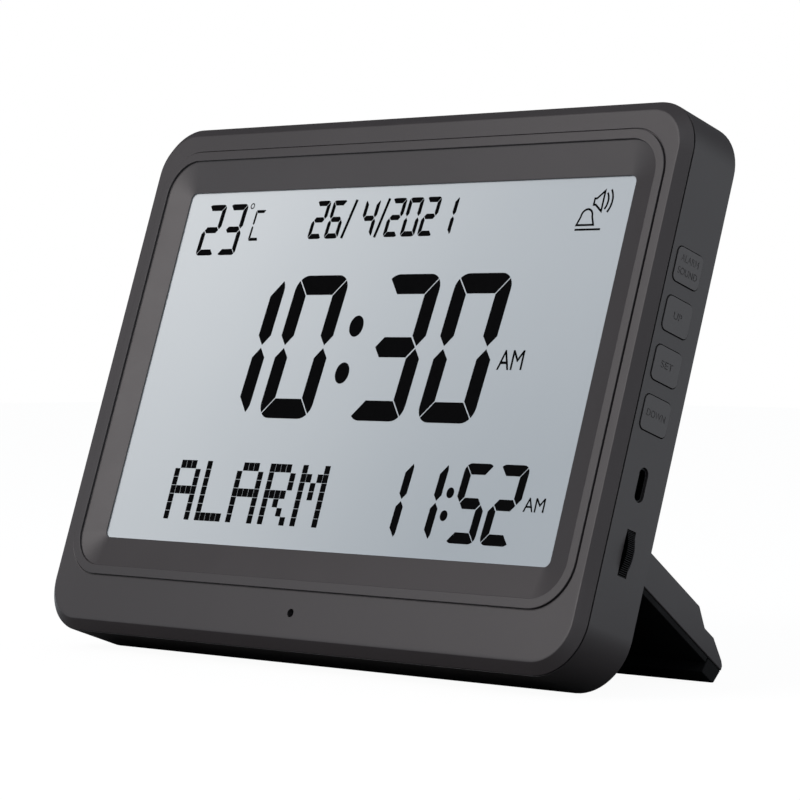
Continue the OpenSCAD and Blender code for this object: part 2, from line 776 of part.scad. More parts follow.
module speaker_cone() color("#232325") leaned() {
    bar_y(speaker_x, speaker_mid_z, cone_r, cone_y, cone_y + cone_t);
    bar_y(speaker_x, speaker_mid_z, coil_r, speaker_front + basket_floor, cone_y);
}

module speaker_magnet() color(steel_colour) leaned()
    bar_y(speaker_x, speaker_mid_z, magnet_r, speaker_front - magnet_t, speaker_front);

module speaker_gasket() color(black_colour) leaned() difference() {
    bar_y(speaker_x, speaker_mid_z, speaker_r, speaker_back, back_in);
    bar_y(speaker_x, speaker_mid_z, cone_r, speaker_back - cut, back_in + cut);
}

// The microphone sits in a soft boot behind its hole, and its pins reach back to the board
boot_floor = 0.6;
boot_wall = 1;
mic_y = rim_d + boot_floor;
pin_x = 1.2;
pin_up = 1.4;
mic_pin_r = 0.35;
module microphone() color("#c9cacb") leaned()
    bar_y(0, mic_z, mic_r, mic_y, mic_y + mic_d);

module microphone_boot() color(black_colour) leaned() difference() {
    bar_y(0, mic_z, mic_r + boot_wall, rim_d, mic_y + mic_d);
    bar_y(0, mic_z, mic_r, mic_y, mic_y + mic_d + cut);
    bar_y(0, mic_z, mic_hole_r, rim_d - cut, mic_y + cut);
}

module microphone_pins() color(steel_colour) leaned()
    for (x = [-pin_x, pin_x]) bar_y(x, mic_z + pin_up, mic_pin_r, mic_y + mic_d, board_y);

// The battery is stuck to the back by its pad; its safety circuit is the small block at its side
battery_in = 51;
battery_x = battery_in - side_in;
battery_z = 104;
battery_r = 2;
battery_y1 = back_in - pad_t;
circuit_w = 3;
circuit_half = 8;
circuit_in = 0.4;
pad_in = 6;
module battery_cell() color("#9aa0a6") leaned() {
    plate(battery_x - battery_w / 2, battery_x + battery_w / 2, battery_z - battery_h / 2,
        battery_z + battery_h / 2, battery_r, battery_y1 - battery_t, battery_y1);
    block(battery_x + battery_w / 2 - cut, battery_x + battery_w / 2 + circuit_w,
        battery_y1 - battery_t + 3 * circuit_in, battery_y1 - circuit_in,
        battery_z - circuit_half, battery_z + circuit_half);
}

module battery_pad() color("#2b2b2b") leaned()
    block(battery_x - battery_w / 2 + pad_in, battery_x + battery_w / 2 - pad_in, battery_y1, back_in,
        battery_z - battery_h / 2 + pad_in, battery_z + battery_h / 2 - pad_in);

// The twin leads of the battery and the speaker, laid flat between the board and the back
lead_up = 0.5;
lead_y = board_back + lead_up;
lead_t = 1.1;
lead_w = 2.2;
lead_in = 5;
lead_z = battery_z - lead_in;
lead_drop = 16;
lead_low = speaker_mid_z - speaker_r - lead_drop;
lead_x = 8;
lead_x1 = 40;
battery_route = [
    [battery_x + battery_w / 2 + circuit_w, lead_z], [-lead_x, lead_z],
    [lead_x, lead_low], [lead_x1, lead_low],
    [plug_x - lead_x, battery_plug_z], [plug_x, battery_plug_z]
];
speaker_route = [
    [speaker_x + speaker_r, speaker_mid_z], [speaker_x + speaker_r + lead_in, speaker_mid_z],
    [plug_x - lead_in, speaker_plug_z], [plug_x, speaker_plug_z]
];
module battery_lead() color("#a02a22") leaned() flat_lead(battery_route, lead_w, lead_y, lead_y + lead_t);
module speaker_lead() color("#8f1f1f") leaned() flat_lead(speaker_route, lead_w, lead_y, lead_y + lead_t);

module rear_housing() color(case_colour) {
    leaned() difference() {
        union() {
            difference() {
                union() {
                    outline(0, rim_d + parting_gap, case_d - back_bevel);
                    bevelled(0, back_bevel, case_d - back_bevel, case_d);
                }
                outline(wall, 0, back_in);
            }
            for (p = posts) bar_y(p[0], p[1], tube_r, tube_y, back_in + cut);
            difference() {
                bar_y(speaker_x, speaker_mid_z, speaker_r + ring_gap + ring_t, speaker_front + ring_in,
                    back_in + cut);
                bar_y(speaker_x, speaker_mid_z, speaker_r + ring_gap, speaker_front, back_in);
                block(speaker_x, speaker_x + 2 * speaker_r, speaker_front, lead_y + lead_t + ring_gap,
                    speaker_mid_z - lead_w, speaker_mid_z + lead_w);
            }
        }
        for (p = posts) {
            bar_y(p[0], p[1], screw_head_r + screw_free, screw_seat, case_d + cut);
            bar_y(p[0], p[1], screw_r + screw_free, tube_y - cut, case_d);
        }
        for (z = button_zs) translate([side_in - cut, button_y, z]) rotate([90, 0, 90])
            linear_extrude(wall + 2 * cut)
                rounded(button_w + 2 * button_gap, button_h + 2 * button_gap, button_r + button_gap);
        stadium_x(side_in - cut, half_w + cut, usb_y, usb_z, usb_l + usb_free, usb_w + usb_free);
        bar_y(wheel_x, wheel_z, wheel_r + wheel_gap, wheel_y - wheel_gap, wheel_back + wheel_gap);
        grille();
        vents();
        block(battery_x - label_w / 2, battery_x + label_w / 2, case_d - label_d, case_d + cut,
            label_z0, label_z0 + label_h);
    }
    hinge_lugs();
}

// A shallow place for a label on the back, left bare
label_w = 60;
label_h = 30;
label_z0 = 108;
label_d = 0.3;

// Slots over the speaker, cut to the length that a circle gives them
module grille() {
    pitch = 3.4;
    reach = cone_r - grille_slot;
    for (i = [0 : grille_count - 1]) {
        dz = (i - (grille_count - 1) / 2) * pitch;
        half = sqrt(pow(reach, 2) - pow(dz, 2)) - grille_slot / 2;
        block(speaker_x - half, speaker_x + half, back_in - cut, case_d + cut,
            speaker_mid_z + dz - grille_slot / 2, speaker_mid_z + dz + grille_slot / 2);
        for (s = [-1, 1])
            bar_y(speaker_x + s * half, speaker_mid_z + dz, grille_slot / 2, back_in - cut, case_d + cut);
    }
}

// Upright slots beside the temperature sensor
module vents() {
    pitch = 3;
    half = 0.6;
    half_l = 6;
    for (i = [-2 : 2]) translate([sensor_x + i * pitch, 0, sensor_z])
        block(-half, half, back_in - cut, case_d + cut, -half_l, half_l);
}

// Two lugs on the back carry the hinge pins
module hinge_lugs() {
    leaned() for (s = [-1, 1]) difference() {
        union() {
            bar_x(s * lug_x - lug_w / 2, s * lug_x + lug_w / 2, case_d + stand_off, hinge_z, lug_r);
            block(s * lug_x - lug_w / 2, s * lug_x + lug_w / 2, case_d - lug_root, case_d + stand_off,
                hinge_z - lug_r, hinge_z + lug_r);
        }
        bar_x(s * lug_x - lug_w, s * lug_x + lug_w, case_d + stand_off, hinge_z, pin_r + press);
    }
}

module case_screws() color(steel_colour) leaned() for (p = posts) difference() {
    union() {
        bar_y(p[0], p[1], screw_head_r, screw_seat, screw_seat + screw_head_t);
        bar_y(p[0], p[1], screw_r, screw_tip, screw_seat);
    }
    for (a = [0, 90]) translate([p[0], screw_seat + screw_head_t, p[1]]) rotate([0, a, 0])
        cube([cross_l, screw_head_t, cross_w], center = true);
}

module hinge_pins() color(steel_colour) leaned() for (s = [-1, 1])
    bar_x(s * lug_x - lug_w / 2 - pin_reach, s * lug_x + lug_w / 2 + pin_reach,
        case_d + stand_off, hinge_z, pin_r);

module hinge_washers() color("#c8b273") leaned()
    for (s = [-1, 1], side = [-1, 1]) {
        x = s * lug_x + side * (lug_w / 2 + washer_t / 2);
        difference() {
            bar_x(x - washer_t / 2, x + washer_t / 2, case_d + stand_off, hinge_z, washer_r);
            bar_x(x - washer_t, x + washer_t, case_d + stand_off, hinge_z, pin_r + press);
        }
    }

// A solid of the stand's own frame: a profile in s and n, extruded from x0 to x1
module stand_prism(points, x0, x1) {
    translate([x0, 0, 0]) rotate([90, 0, 90]) linear_extrude(x1 - x0)
        polygon([for (p = points) [p[0], -p[1]]]);
}
module stand_box(x0, x1, s0, s1, n0, n1) {
    block(x0, x1, s0, s1, -n1, -n0);
}

module stand_flap() color(case_colour) opened() difference() {
    union() {
        stand_prism(stand_profile, -stand_w / 2, stand_w / 2);
        bar_x(-stand_w / 2, stand_w / 2, 0, 0, half_t);
    }
    stand_box(-hollow_x, hollow_x, hollow_s0, hollow_s1, stand_wall - half_t, half_t + cut);
    for (s = [-1, 1]) {
        stand_box(s * lug_x - notch_w / 2, s * lug_x + notch_w / 2, -stand_t, notch_s, -stand_t, stand_t);
        bar_x(s * lug_x - notch_w / 2 - pin_reach, s * lug_x + notch_w / 2 + pin_reach, 0, 0,
            pin_r + running);
    }
}

module stand_cover() color(black_colour) opened() {
    stand_box(foot_short - stand_w / 2, stand_w / 2 - foot_short, cover_s0, cover_s1,
        half_t, half_t + cover_t);
    stand_box(slack - hollow_x, hollow_x - slack, hollow_s0 + slack, hollow_s1 - slack,
        half_t - cover_tongue, half_t + cover_t / 2);
}

// The foot strip's section leans in with the tip, and the table cuts it flat
module stand_foot() color(black_colour) intersection() {
    opened() stand_prism([
        [stand_l - foot_w, half_t], [stand_l, half_t], [foot_s, foot_n],
        [foot_s, foot_n + foot_in], [stand_l - foot_w, foot_n + foot_in]
    ], foot_short - stand_w / 2, stand_w / 2 - foot_short);
    block(-stand_w, stand_w, -case_h, case_h, 0, case_h);
}

front_frame();
display_gasket();
front_polariser();
front_glass();
rear_glass();
rear_polariser();
light_guide();
reflector_sheet();
backlight_strip();
display_carrier();
carrier_screws();
contact_strip();
main_board();
board_screws();
board_chips();
board_capacitors();
board_connectors();
temperature_sensor();
button_switches();
alarm_button();
up_button();
set_button();
down_button();
alarm_plunger();
up_plunger();
set_plunger();
down_plunger();
usb_socket();
usb_tongue();
volume_wheel();
wheel_screw();
volume_control();
speaker_frame();
speaker_cone();
speaker_magnet();
speaker_gasket();
microphone();
microphone_boot();
microphone_pins();
battery_cell();
battery_pad();
battery_lead();
speaker_lead();
rear_housing();
case_screws();
hinge_pins();
hinge_washers();
stand_flap();
stand_cover();
stand_foot();
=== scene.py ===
# %% [markdown]
# # A digital desk clock
# This lesson dresses an engineered clock. The engineered model already holds every piece at its
# real size. Here the pieces that are seen get rounded edges, printed segments and real finishes.

# %% Load the engineered frame
import json
import math

import bmesh
import bpy
import numpy as np
from mathutils import Matrix, Vector


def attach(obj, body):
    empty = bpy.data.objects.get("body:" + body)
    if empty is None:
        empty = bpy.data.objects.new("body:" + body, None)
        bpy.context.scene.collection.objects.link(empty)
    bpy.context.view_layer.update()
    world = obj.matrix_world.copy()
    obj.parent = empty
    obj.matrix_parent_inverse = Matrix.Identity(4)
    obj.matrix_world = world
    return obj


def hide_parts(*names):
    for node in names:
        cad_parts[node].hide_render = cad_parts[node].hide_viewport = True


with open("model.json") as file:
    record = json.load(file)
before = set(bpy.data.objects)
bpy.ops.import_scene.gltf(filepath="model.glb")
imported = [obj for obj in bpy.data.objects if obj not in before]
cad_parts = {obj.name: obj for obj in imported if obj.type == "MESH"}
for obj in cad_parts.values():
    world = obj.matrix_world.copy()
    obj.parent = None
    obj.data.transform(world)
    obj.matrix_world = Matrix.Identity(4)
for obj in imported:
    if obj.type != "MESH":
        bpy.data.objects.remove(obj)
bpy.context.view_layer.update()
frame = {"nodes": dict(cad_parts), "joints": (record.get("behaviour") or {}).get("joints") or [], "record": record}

# %% [markdown]
# ## The clock's own frame
# The case leans back, but it is easier to draw upright: x to the right, y from the face to the
# back, z up from the case's lower edge. The volume wheel's axle runs square to the face, so its
# direction gives the lean, and its place ties the upright frame to the world.

# %% Between upright and leaning
MM = 0.001
AXLE = next(joint for joint in frame["joints"] if joint["name"] == "volume_turn")
LEAN = math.atan2(-AXLE["axis"][2], AXLE["axis"][1])
AXLE_LEANING = np.array(AXLE["pos_m"])
AXLE_UPRIGHT = np.array([93.8, 11.1, 35.6]) * MM
TURN = np.array(Matrix.Rotation(-LEAN, 3, "X"))


def leaned(points):
    """Upright points in metres, turned back about the axle's place and moved to the world."""
    return AXLE_LEANING + (np.asarray(points, float) - AXLE_UPRIGHT) @ TURN.T


def upright(points):
    """World points turned and moved the other way, into the upright frame."""
    return AXLE_UPRIGHT + (np.asarray(points, float) - AXLE_LEANING) @ TURN


def upright_box(node):
    """Lowest and highest upright corners of an engineered piece, in millimetres."""
    mesh = frame["nodes"][node].data
    flat = np.empty(len(mesh.vertices) * 3)
    mesh.vertices.foreach_get("co", flat)
    points = upright(flat.reshape(-1, 3)) / MM
    return points.min(0), points.max(0)


HALF_W, _, CASE_H = upright_box("front_frame")[1]
FILM_Y = upright_box("front_polariser")[0][1]
print("the case leans", round(math.degrees(LEAN), 2), "degrees")
print("it is", round(2 * HALF_W, 1), "by", round(CASE_H, 1), "mm")

# %% [markdown]
# ## The camera
# A long lens from the front right, almost level with the table. Its place could be tried out by
# eye, but it was worked out once from the clock's own corners, which fits all of them together.
# It is kept in the upright frame and leans with it.

# %% Set the camera
PHOTO_PIXELS = 800
FOCAL_PIXELS = 3271.5
SENSOR_MM = 36.0
NEAREST_SEEN = 10 * MM
EYE_UPRIGHT = np.array([648.8, -610.4, -115.2]) * MM
LOOK_UPRIGHT = np.array([-0.7003, 0.6825, 0.2093])
RIGHT_UPRIGHT = np.array([0.7137, 0.6627, 0.2268])

look = TURN @ LOOK_UPRIGHT
look /= np.linalg.norm(look)
side = TURN @ RIGHT_UPRIGHT
side -= look * (side @ look)
side /= np.linalg.norm(side)
rise = np.cross(side, look)
camera = bpy.data.objects.new("camera", bpy.data.cameras.new("camera"))
bpy.context.scene.collection.objects.link(camera)
placed = Matrix(np.column_stack([side, rise, -look]).tolist()).to_4x4()
placed.translation = Vector(leaned(EYE_UPRIGHT))
camera.matrix_world = placed
camera.data.sensor_width = SENSOR_MM
camera.data.lens = FOCAL_PIXELS / PHOTO_PIXELS * SENSOR_MM
camera.data.clip_start = NEAREST_SEEN
bpy.context.scene.camera = camera
print("lens", round(camera.data.lens, 1), "mm at", [round(v, 3) for v in placed.translation])

# %% [markdown]
# ## Materials as sums
# A procedural finish is mostly arithmetic on noise. Its nodes could be added one call at a time,
# but wrapping a socket in a small class lets the sums be written as Python, and each sign adds
# its own Math node.


# %% A socket that can be added and multiplied
class Sum:
    """A number from a node, with the signs + - * that add Math nodes."""

    def __init__(self, finish, socket):
        self.finish = finish
        self.socket = socket

    def _math(self, operation, first, second=0.0):
        return self.finish.node("Math", {"operation": operation}, {0: first, 1: second})

    def __add__(self, other):
        return self._math("ADD", self, other)

    def __sub__(self, other):
        return self._math("SUBTRACT", self, other)

    def __rsub__(self, other):
        return self._math("SUBTRACT", other, self)

    def __mul__(self, other):
        return self._math("MULTIPLY", self, other)

    def __abs__(self):
        return self._math("ABSOLUTE", self)

    __radd__ = __add__
    __rmul__ = __mul__

    def root(self):
        """The square root."""
        return self._math("SQRT", self)

    def at_least(self, other):
        """The larger of two numbers."""
        return self._math("MAXIMUM", self, other)

    def at_most(self, other):
        """The smaller of two numbers."""
        return self._math("MINIMUM", self, other)

    def step(self, low, high):
        """A smooth step from 0 at low to 1 at high."""
        settings = {"interpolation_type": "SMOOTHSTEP"}
        sockets = {"Value": self, "From Min": low, "From Max": high}
        return self.finish.node("MapRange", settings, sockets)


print("sockets can now be added, subtracted, multiplied and stepped")


# %% A material whose nodes come from one method
class Finish:
    """One material: nodes come from one method, and the shader's sockets from another."""

    def __init__(self, name, gloss=0.5):
        self.material = bpy.data.materials.new(name)
        self.material.use_nodes = True
        self.tree = self.material.node_tree
        self.shader = self.tree.nodes["Principled BSDF"]
        self.shader.inputs["Specular IOR Level"].default_value = gloss
        self.place = self.node("TexCoord", output="Object")

    def feed(self, socket, value):
        """Links a node's result into a socket, or writes a plain number or colour there."""
        if isinstance(value, Sum):
            self.tree.links.new(value.socket, socket)
        else:
            socket.default_value = value

    def node(self, kind, settings=None, sockets=None, output=0):
        """Adds a node of a kind, sets its settings first, then feeds its sockets."""
        made = self.tree.nodes.new("ShaderNode" + kind)
        for name, value in (settings or {}).items():
            setattr(made, name, value)
        for name, value in (sockets or {}).items():
            self.feed(made.inputs[name], value)
        return Sum(self, made.outputs[output])

    def split(self, vector):
        """The three numbers of a vector."""
        parted = self.node("SeparateXYZ", None, {"Vector": vector}).socket.node
        return [Sum(self, part) for part in parted.outputs]

    def noise(self, size, detail=3.0, rough=0.5, place=None):
        """Cloudy noise from 0 to 1, whose features are about size metres across."""
        sockets = {"Vector": place or self.place, "Scale": 1 / size,
                   "Detail": detail, "Roughness": rough}
        return self.node("TexNoise", None, sockets)

    def blend(self, low, high, share):
        """A colour between two colours."""
        rgba = [c if isinstance(c, Sum) else (*c, 1.0) for c in (low, high)]
        sockets = {0: share, 6: rgba[0], 7: rgba[1]}
        return self.node("Mix", {"data_type": "RGBA"}, sockets, output=2)

    def bump(self, height, depth, strength):
        """Relief of a height from 0 to 1 that is depth metres deep."""
        return self.node("Bump", None, {"Height": height, "Distance": depth, "Strength": strength})

    def set(self, **values):
        """Feeds the shader: base_color writes the socket Base Color, and so on."""
        for name, value in values.items():
            title = " ".join(word.capitalize() for word in name.split("_"))
            self.feed(self.shader.inputs[title], value)
        return self.material


def scaled(colour, factor):
    """A colour made lighter or darker by one factor."""
    return tuple(min(1.0, channel * factor) for channel in colour)


print("a colour one tenth lighter:", [round(c, 3) for c in scaled((0.2, 0.3, 0.4), 1.1)])

# %% [markdown]
# ## Moulded plastic
# The case is injection-moulded and its mould was spark-eroded, which leaves a fine matt grain.
# Three scales make it: soft clouds of colour, finger-sized patches of sheen, and the grain itself.
# An image of plastic could be laid on, but noise in the object's own coordinates has no seams.

# %% Grain, clouds and patches
GRAIN, GRAIN_DEPTH, GRAIN_STRENGTH = 0.35 * MM, 0.02 * MM, 0.5
CLOUD_SIZE, CLOUD_DRIFT = 45 * MM, 0.10
CLOUD_PART, CLOUD_LOW, CLOUD_HIGH = 0.8, 0.3, 0.7
PATCH_SIZE, PATCH_SHEEN, GRAIN_SHEEN = 14 * MM, 0.08, 0.06


def grain(finish):
    """The spark-eroded grain, as noise from 0 to 1."""
    return finish.noise(GRAIN, 2.0, 0.6)


def drifting(finish, colour, drift, cloud_size, grains):
    """A colour that drifts by a share to either side, with soft clouds and a little of the grain."""
    clouds = finish.noise(cloud_size, 2.0)
    share = (clouds * CLOUD_PART + grains * (1 - CLOUD_PART)).step(CLOUD_LOW, CLOUD_HIGH)
    return finish.blend(scaled(colour, 1 - drift), scaled(colour, 1 + drift), share)


def moulded(name, colour, rough=0.5, gloss=0.5):
    """Colour drifts with soft clouds, roughness with patches, and a fine noise gives the grain."""
    finish = Finish(name, gloss)
    grains = grain(finish)
    patches = finish.noise(PATCH_SIZE, 4.0, 0.6)
    return finish.set(
        base_color=drifting(finish, colour, CLOUD_DRIFT, CLOUD_SIZE, grains),
        roughness=(patches - 0.5) * PATCH_SHEEN + rough + grains * GRAIN_SHEEN,
        normal=finish.bump(grains, GRAIN_DEPTH, GRAIN_STRENGTH),
    )


print("the grain is", round(GRAIN / MM, 2), "mm wide and", round(GRAIN_DEPTH / MM, 2), "mm deep")

# %% [markdown]
# ## The case's plastic, worn along its rim
# Hands hold the case by its front rim, so the rim is burnished a little lighter. The wear could be
# painted on, but the rim is a rounded rectangle, and the distance to it is a short formula.

# %% The case's plastic
CASE_COLOUR = (0.041, 0.0365, 0.0385)
CASE_GLOSS, CASE_ROUGH = 0.35, 0.40
CASE_CLOUDS, CASE_DRIFT, CASE_PATCHES, CASE_GRAIN = 60 * MM, 0.08, 16 * MM, 0.018 * MM
CORNER_R, BEVEL_W = 15.0, 3.1
RIM_FADE, RIM_END, RIM_GONE = 0.9, 0.2, 1.2
WEAR_FROM, WEAR_FULL = 0.45, 0.75
WEAR_LIGHTER, WEAR_PART, WEAR_SHEEN = 1.35, 0.5, 0.08


def upright_place(finish):
    """Three numbers: how far a place is across, behind the face and above the lower edge."""
    at = AXLE_LEANING - TURN @ AXLE_UPRIGHT
    sockets = {"Vector": finish.place, "Location": tuple(at), "Rotation": (-LEAN, 0.0, 0.0)}
    return finish.split(finish.node("Mapping", {"vector_type": "TEXTURE"}, sockets))


def outline_distance(across, height):
    """How far a place lies outside the case's outline, less than 0 inside it: its reaches past the
    centres of the corners' circles, as the root of their squares where they are over 0 and else
    the larger of the two, less the corner's radius."""
    half_w, half_h, corner = HALF_W * MM, CASE_H * MM / 2, CORNER_R * MM
    reach_x = abs(across) - (half_w - corner)
    reach_z = abs(height - half_h) - (half_h - corner)
    out_x, out_z = reach_x.at_least(0.0), reach_z.at_least(0.0)
    round_out = (out_x * out_x + out_z * out_z).root()
    return round_out + reach_x.at_least(reach_z).at_most(0.0) - corner


def case_plastic():
    """Moulded plastic that is lighter and smoother along the front rim, in patches."""
    finish = Finish("case_plastic", CASE_GLOSS)
    across, depth, height = upright_place(finish)
    edge = outline_distance(across, height) + BEVEL_W * MM
    in_front = 1 - depth.step(RIM_END * MM, RIM_GONE * MM)
    grains = grain(finish)
    patches = finish.noise(CASE_PATCHES, 4.0, 0.6)
    worn = edge.step(-RIM_FADE * MM, 0.0) * in_front * patches.step(WEAR_FROM, WEAR_FULL)
    body = drifting(finish, CASE_COLOUR, CASE_DRIFT, CASE_CLOUDS, grains)
    sheen = (patches - 0.5) * PATCH_SHEEN + CASE_ROUGH + grains * GRAIN_SHEEN
    return finish.set(
        base_color=finish.blend(body, scaled(CASE_COLOUR, WEAR_LIGHTER), worn * WEAR_PART),
        roughness=sheen - worn * WEAR_SHEEN,
        normal=finish.bump(grains, CASE_GRAIN, GRAIN_STRENGTH),
    )


CASE_PLASTIC = case_plastic()
print("made", CASE_PLASTIC.name, "with", len(CASE_PLASTIC.node_tree.nodes), "nodes")

# %% [markdown]
# ## The wheel's ribs
# The crests of the wheel's ribs get a painted grey highlight, where light would catch them, and the grooves stay
# black. One flat black could do, but ribs this fine would then melt into one. The distance from the axle tells
# crests from grooves, so the painted highlight stays on the crests however the wheel is turned.

# %% The wheel's plastic, and the plain ones
WHEEL_R, RIB_DEPTH, CREST_PART, CREST_GRAIN = 12.5, 0.35, 0.6, 0.4
WHEEL_BLACK, WHEEL_HIGHLIGHT_GREY = (0.0005, 0.0005, 0.0006), (0.05, 0.05, 0.052)
WHEEL_GLOSS, WHEEL_ROUGH = 0.02, 0.45


def wheel_plastic():
    """Black plastic with a painted grey highlight that grows with the distance from the axle, which is the root of
    the sum of the two squared offsets."""
    finish = Finish("wheel_plastic", WHEEL_GLOSS)
    across, _, height = upright_place(finish)
    off_x, off_z = across - AXLE_UPRIGHT[0], height - AXLE_UPRIGHT[2]
    distance = (off_x * off_x + off_z * off_z).root()
    # Painted highlight: the outer part of each rib is painted grey where light would catch it.
    crest_highlight = distance.step((WHEEL_R - CREST_PART * RIB_DEPTH) * MM, WHEEL_R * MM)
    grains = grain(finish)
    painted_highlight = crest_highlight * (grains * CREST_GRAIN + (1 - CREST_GRAIN / 2))
    return finish.set(
        base_color=finish.blend(WHEEL_BLACK, WHEEL_HIGHLIGHT_GREY, painted_highlight),
        roughness=WHEEL_ROUGH + grains * GRAIN_SHEEN,
        normal=finish.bump(grains, GRAIN_DEPTH, GRAIN_STRENGTH),
    )


WHEEL_PLASTIC = wheel_plastic()
DARK_PLASTIC = moulded("dark_plastic", (0.007, 0.007, 0.0075), 0.55, 0.2)
KEY_PLASTIC = moulded("key_plastic", scaled(CASE_COLOUR, 0.97), 0.48)
WHITE_PLASTIC = moulded("white_plastic", (0.62, 0.62, 0.59), 0.5)
RED_PLASTIC = moulded("red_plastic", (0.30, 0.04, 0.03), 0.4)
LEAD_RED = moulded("lead_red", (0.32, 0.02, 0.015), 0.45)
SLEEVE_BLUE = moulded("sleeve_blue", (0.04, 0.07, 0.18), 0.35)
print("plastics:", WHEEL_PLASTIC.name, DARK_PLASTIC.name, KEY_PLASTIC.name)

# %% [markdown]
# ## Rubber, metal, board and foil
# The other finishes hide inside or show in one small place. Rubber is matt, with dust in its
# pores. Metals differ by how their surface was worked: rolled foil is streaked along one way, and
# plated parts are clouded. Simple noise is enough for all of them at this size.


# %% Finishes of the smaller pieces
def rubbery(name, colour):
    """Soft matt rubber with dust in its pores."""
    finish = Finish(name, 0.15)
    pores = finish.noise(0.5 * MM, 4.0, 0.7)
    dust = finish.noise(9 * MM, 5.0, 0.65).step(0.45, 0.8)
    return finish.set(
        base_color=finish.blend(colour, scaled(colour, 2.2), dust * 0.5),
        roughness=0.85 - dust * 0.1,
        normal=finish.bump(pores, 0.04 * MM, 0.6),
    )


def metal(name, colour, rough=0.3, streak=(1.0, 1.0, 1.0)):
    """Bare metal: fine lines, stretched along one way if streaked, and a clouded tarnish."""
    finish = Finish(name)
    drawn = finish.node("Mapping", None, {"Vector": finish.place, "Scale": streak})
    lines = finish.noise(0.4 * MM, 3.0, 0.6, drawn)
    tarnish = finish.noise(6 * MM, 4.0, 0.6)
    return finish.set(
        base_color=finish.blend(scaled(colour, 0.75), colour, tarnish.step(0.3, 0.6)),
        metallic=1.0,
        roughness=(lines - 0.5) * 0.15 + rough + tarnish * 0.08,
        normal=finish.bump(lines, 0.008 * MM, 0.4),
    )


def circuit_board():
    """Green lacquer over copper: tracks are the lighter lines of a stretched brick pattern."""
    finish = Finish("circuit_board")
    turned = {"Vector": finish.place, "Rotation": (math.pi / 2 - LEAN, 0.0, 0.0)}
    sockets = {"Vector": finish.node("Mapping", None, turned), "Scale": 260.0,
               "Mortar Size": 0.012, "Brick Width": 1.4, "Row Height": 0.35}
    tracks = finish.node("TexBrick", None, sockets, output="Fac")
    grime = finish.noise(12 * MM, 4.0)
    green = finish.blend((0.008, 0.070, 0.030), (0.012, 0.095, 0.042), grime)
    return finish.set(
        base_color=finish.blend(green, (0.03, 0.17, 0.08), tracks),
        roughness=0.35 + grime * 0.1,
        normal=finish.bump(tracks, 0.03 * MM, 0.6),
    )


RUBBER = rubbery("rubber_black", (0.005, 0.005, 0.0055))
FOAM = rubbery("foam_black", (0.020, 0.020, 0.021))
PALE_FOAM = rubbery("foam_pale", (0.42, 0.45, 0.47))
STEEL = metal("plated_steel", (0.55, 0.55, 0.56))
BLACK_STEEL = metal("blackened_steel", (0.030, 0.030, 0.032), 0.4)
BRASS = metal("brass", (0.62, 0.47, 0.22))
FOIL = metal("cell_foil", (0.60, 0.61, 0.63), 0.35, (1.0, 1.0, 0.2))
BOARD = circuit_board()
print("metals:", STEEL.name, BLACK_STEEL.name, BRASS.name, "and", BOARD.name)

# %% [markdown]
# ## The display's film and its ink
# A reflective display is a pale grey mirror behind frosted film. Light falls on it more at the upper left, and
# that light is painted into its colour: painted shade darkens it from the upper left to the lower right, with a
# faint cloudiness from the film. A lamp alone could do that, but it would light the case too. The dark segments
# are liquid crystal, so they are nearly black and a little soft.

# %% Display finishes
FILM_PAINTED_LIT, FILM_PAINTED_SHADE = (0.745, 0.79, 0.81), (0.41, 0.465, 0.505)
FILM_LEFT, FILM_RIGHT = -1.1 * HALF_W, 0.9 * HALF_W
FILM_FOOT, FILM_TOP = 15, 155
SHADE_RIGHT_PART, SHADE_FOOT_PART, CLOUDY_PART = 0.75, 0.35, 0.10
INK_DARK, INK_LIGHT = (0.0012, 0.0012, 0.0014), (0.003, 0.003, 0.0035)


def display_film():
    """The painted shade's share is part of a smooth step to the right, part of one down the glass and a little
    cloud from the film."""
    finish = Finish("display_film")
    across, _, height = finish.split(finish.place)
    to_right = across.step(FILM_LEFT * MM, FILM_RIGHT * MM)
    to_top = height.step(FILM_FOOT * MM, FILM_TOP * MM)
    frost = finish.noise(0.18 * MM, 2.0, 0.6)
    clouds = finish.noise(50 * MM, 3.0)
    cloudy = (clouds - 0.5) * CLOUDY_PART
    # Painted shade: the film is lit at the upper left and shaded towards the right and the foot.
    shade = to_right * SHADE_RIGHT_PART + (1 - to_top) * SHADE_FOOT_PART + cloudy
    return finish.set(
        base_color=finish.blend(FILM_PAINTED_LIT, FILM_PAINTED_SHADE, shade),
        roughness=0.42 + frost * 0.08,
        normal=finish.bump(frost, 0.004 * MM, 0.3),
    )


def segment_ink():
    """Nearly black, with a little grey where the crystal is thin."""
    finish = Finish("segment_ink", 0.01)
    thin = finish.noise(1.5 * MM, 3.0)
    return finish.set(
        base_color=finish.blend(INK_DARK, INK_LIGHT, thin),
        roughness=0.42 + thin * 0.08,
        normal=finish.bump(thin, 0.002 * MM, 0.3),
    )


def clear_sheet(name, colour, alpha):
    """A clear sheet with a faint tint and dust."""
    finish = Finish(name)
    dust = finish.noise(4 * MM, 4.0).step(0.5, 0.8)
    return finish.set(
        base_color=finish.blend(colour, scaled(colour, 0.9), dust),
        roughness=0.06 + dust * 0.1,
        alpha=alpha,
        normal=finish.bump(dust, 0.002 * MM, 0.2),
    )


FILM = display_film()
INK = segment_ink()
GLASS = clear_sheet("display_glass", (0.75, 0.80, 0.82), 0.4)
ACRYLIC = clear_sheet("clear_acrylic", (0.85, 0.88, 0.90), 0.6)
print("display:", FILM.name, INK.name)

# %% [markdown]
# ## Give every engineered piece its finish
# Each piece could be dressed by its own line, but it names its slot in the record, so a small
# table from slot to finish dresses them all. A few pieces that differ from the rest of their slot,
# such as the blackened socket, are named on their own.

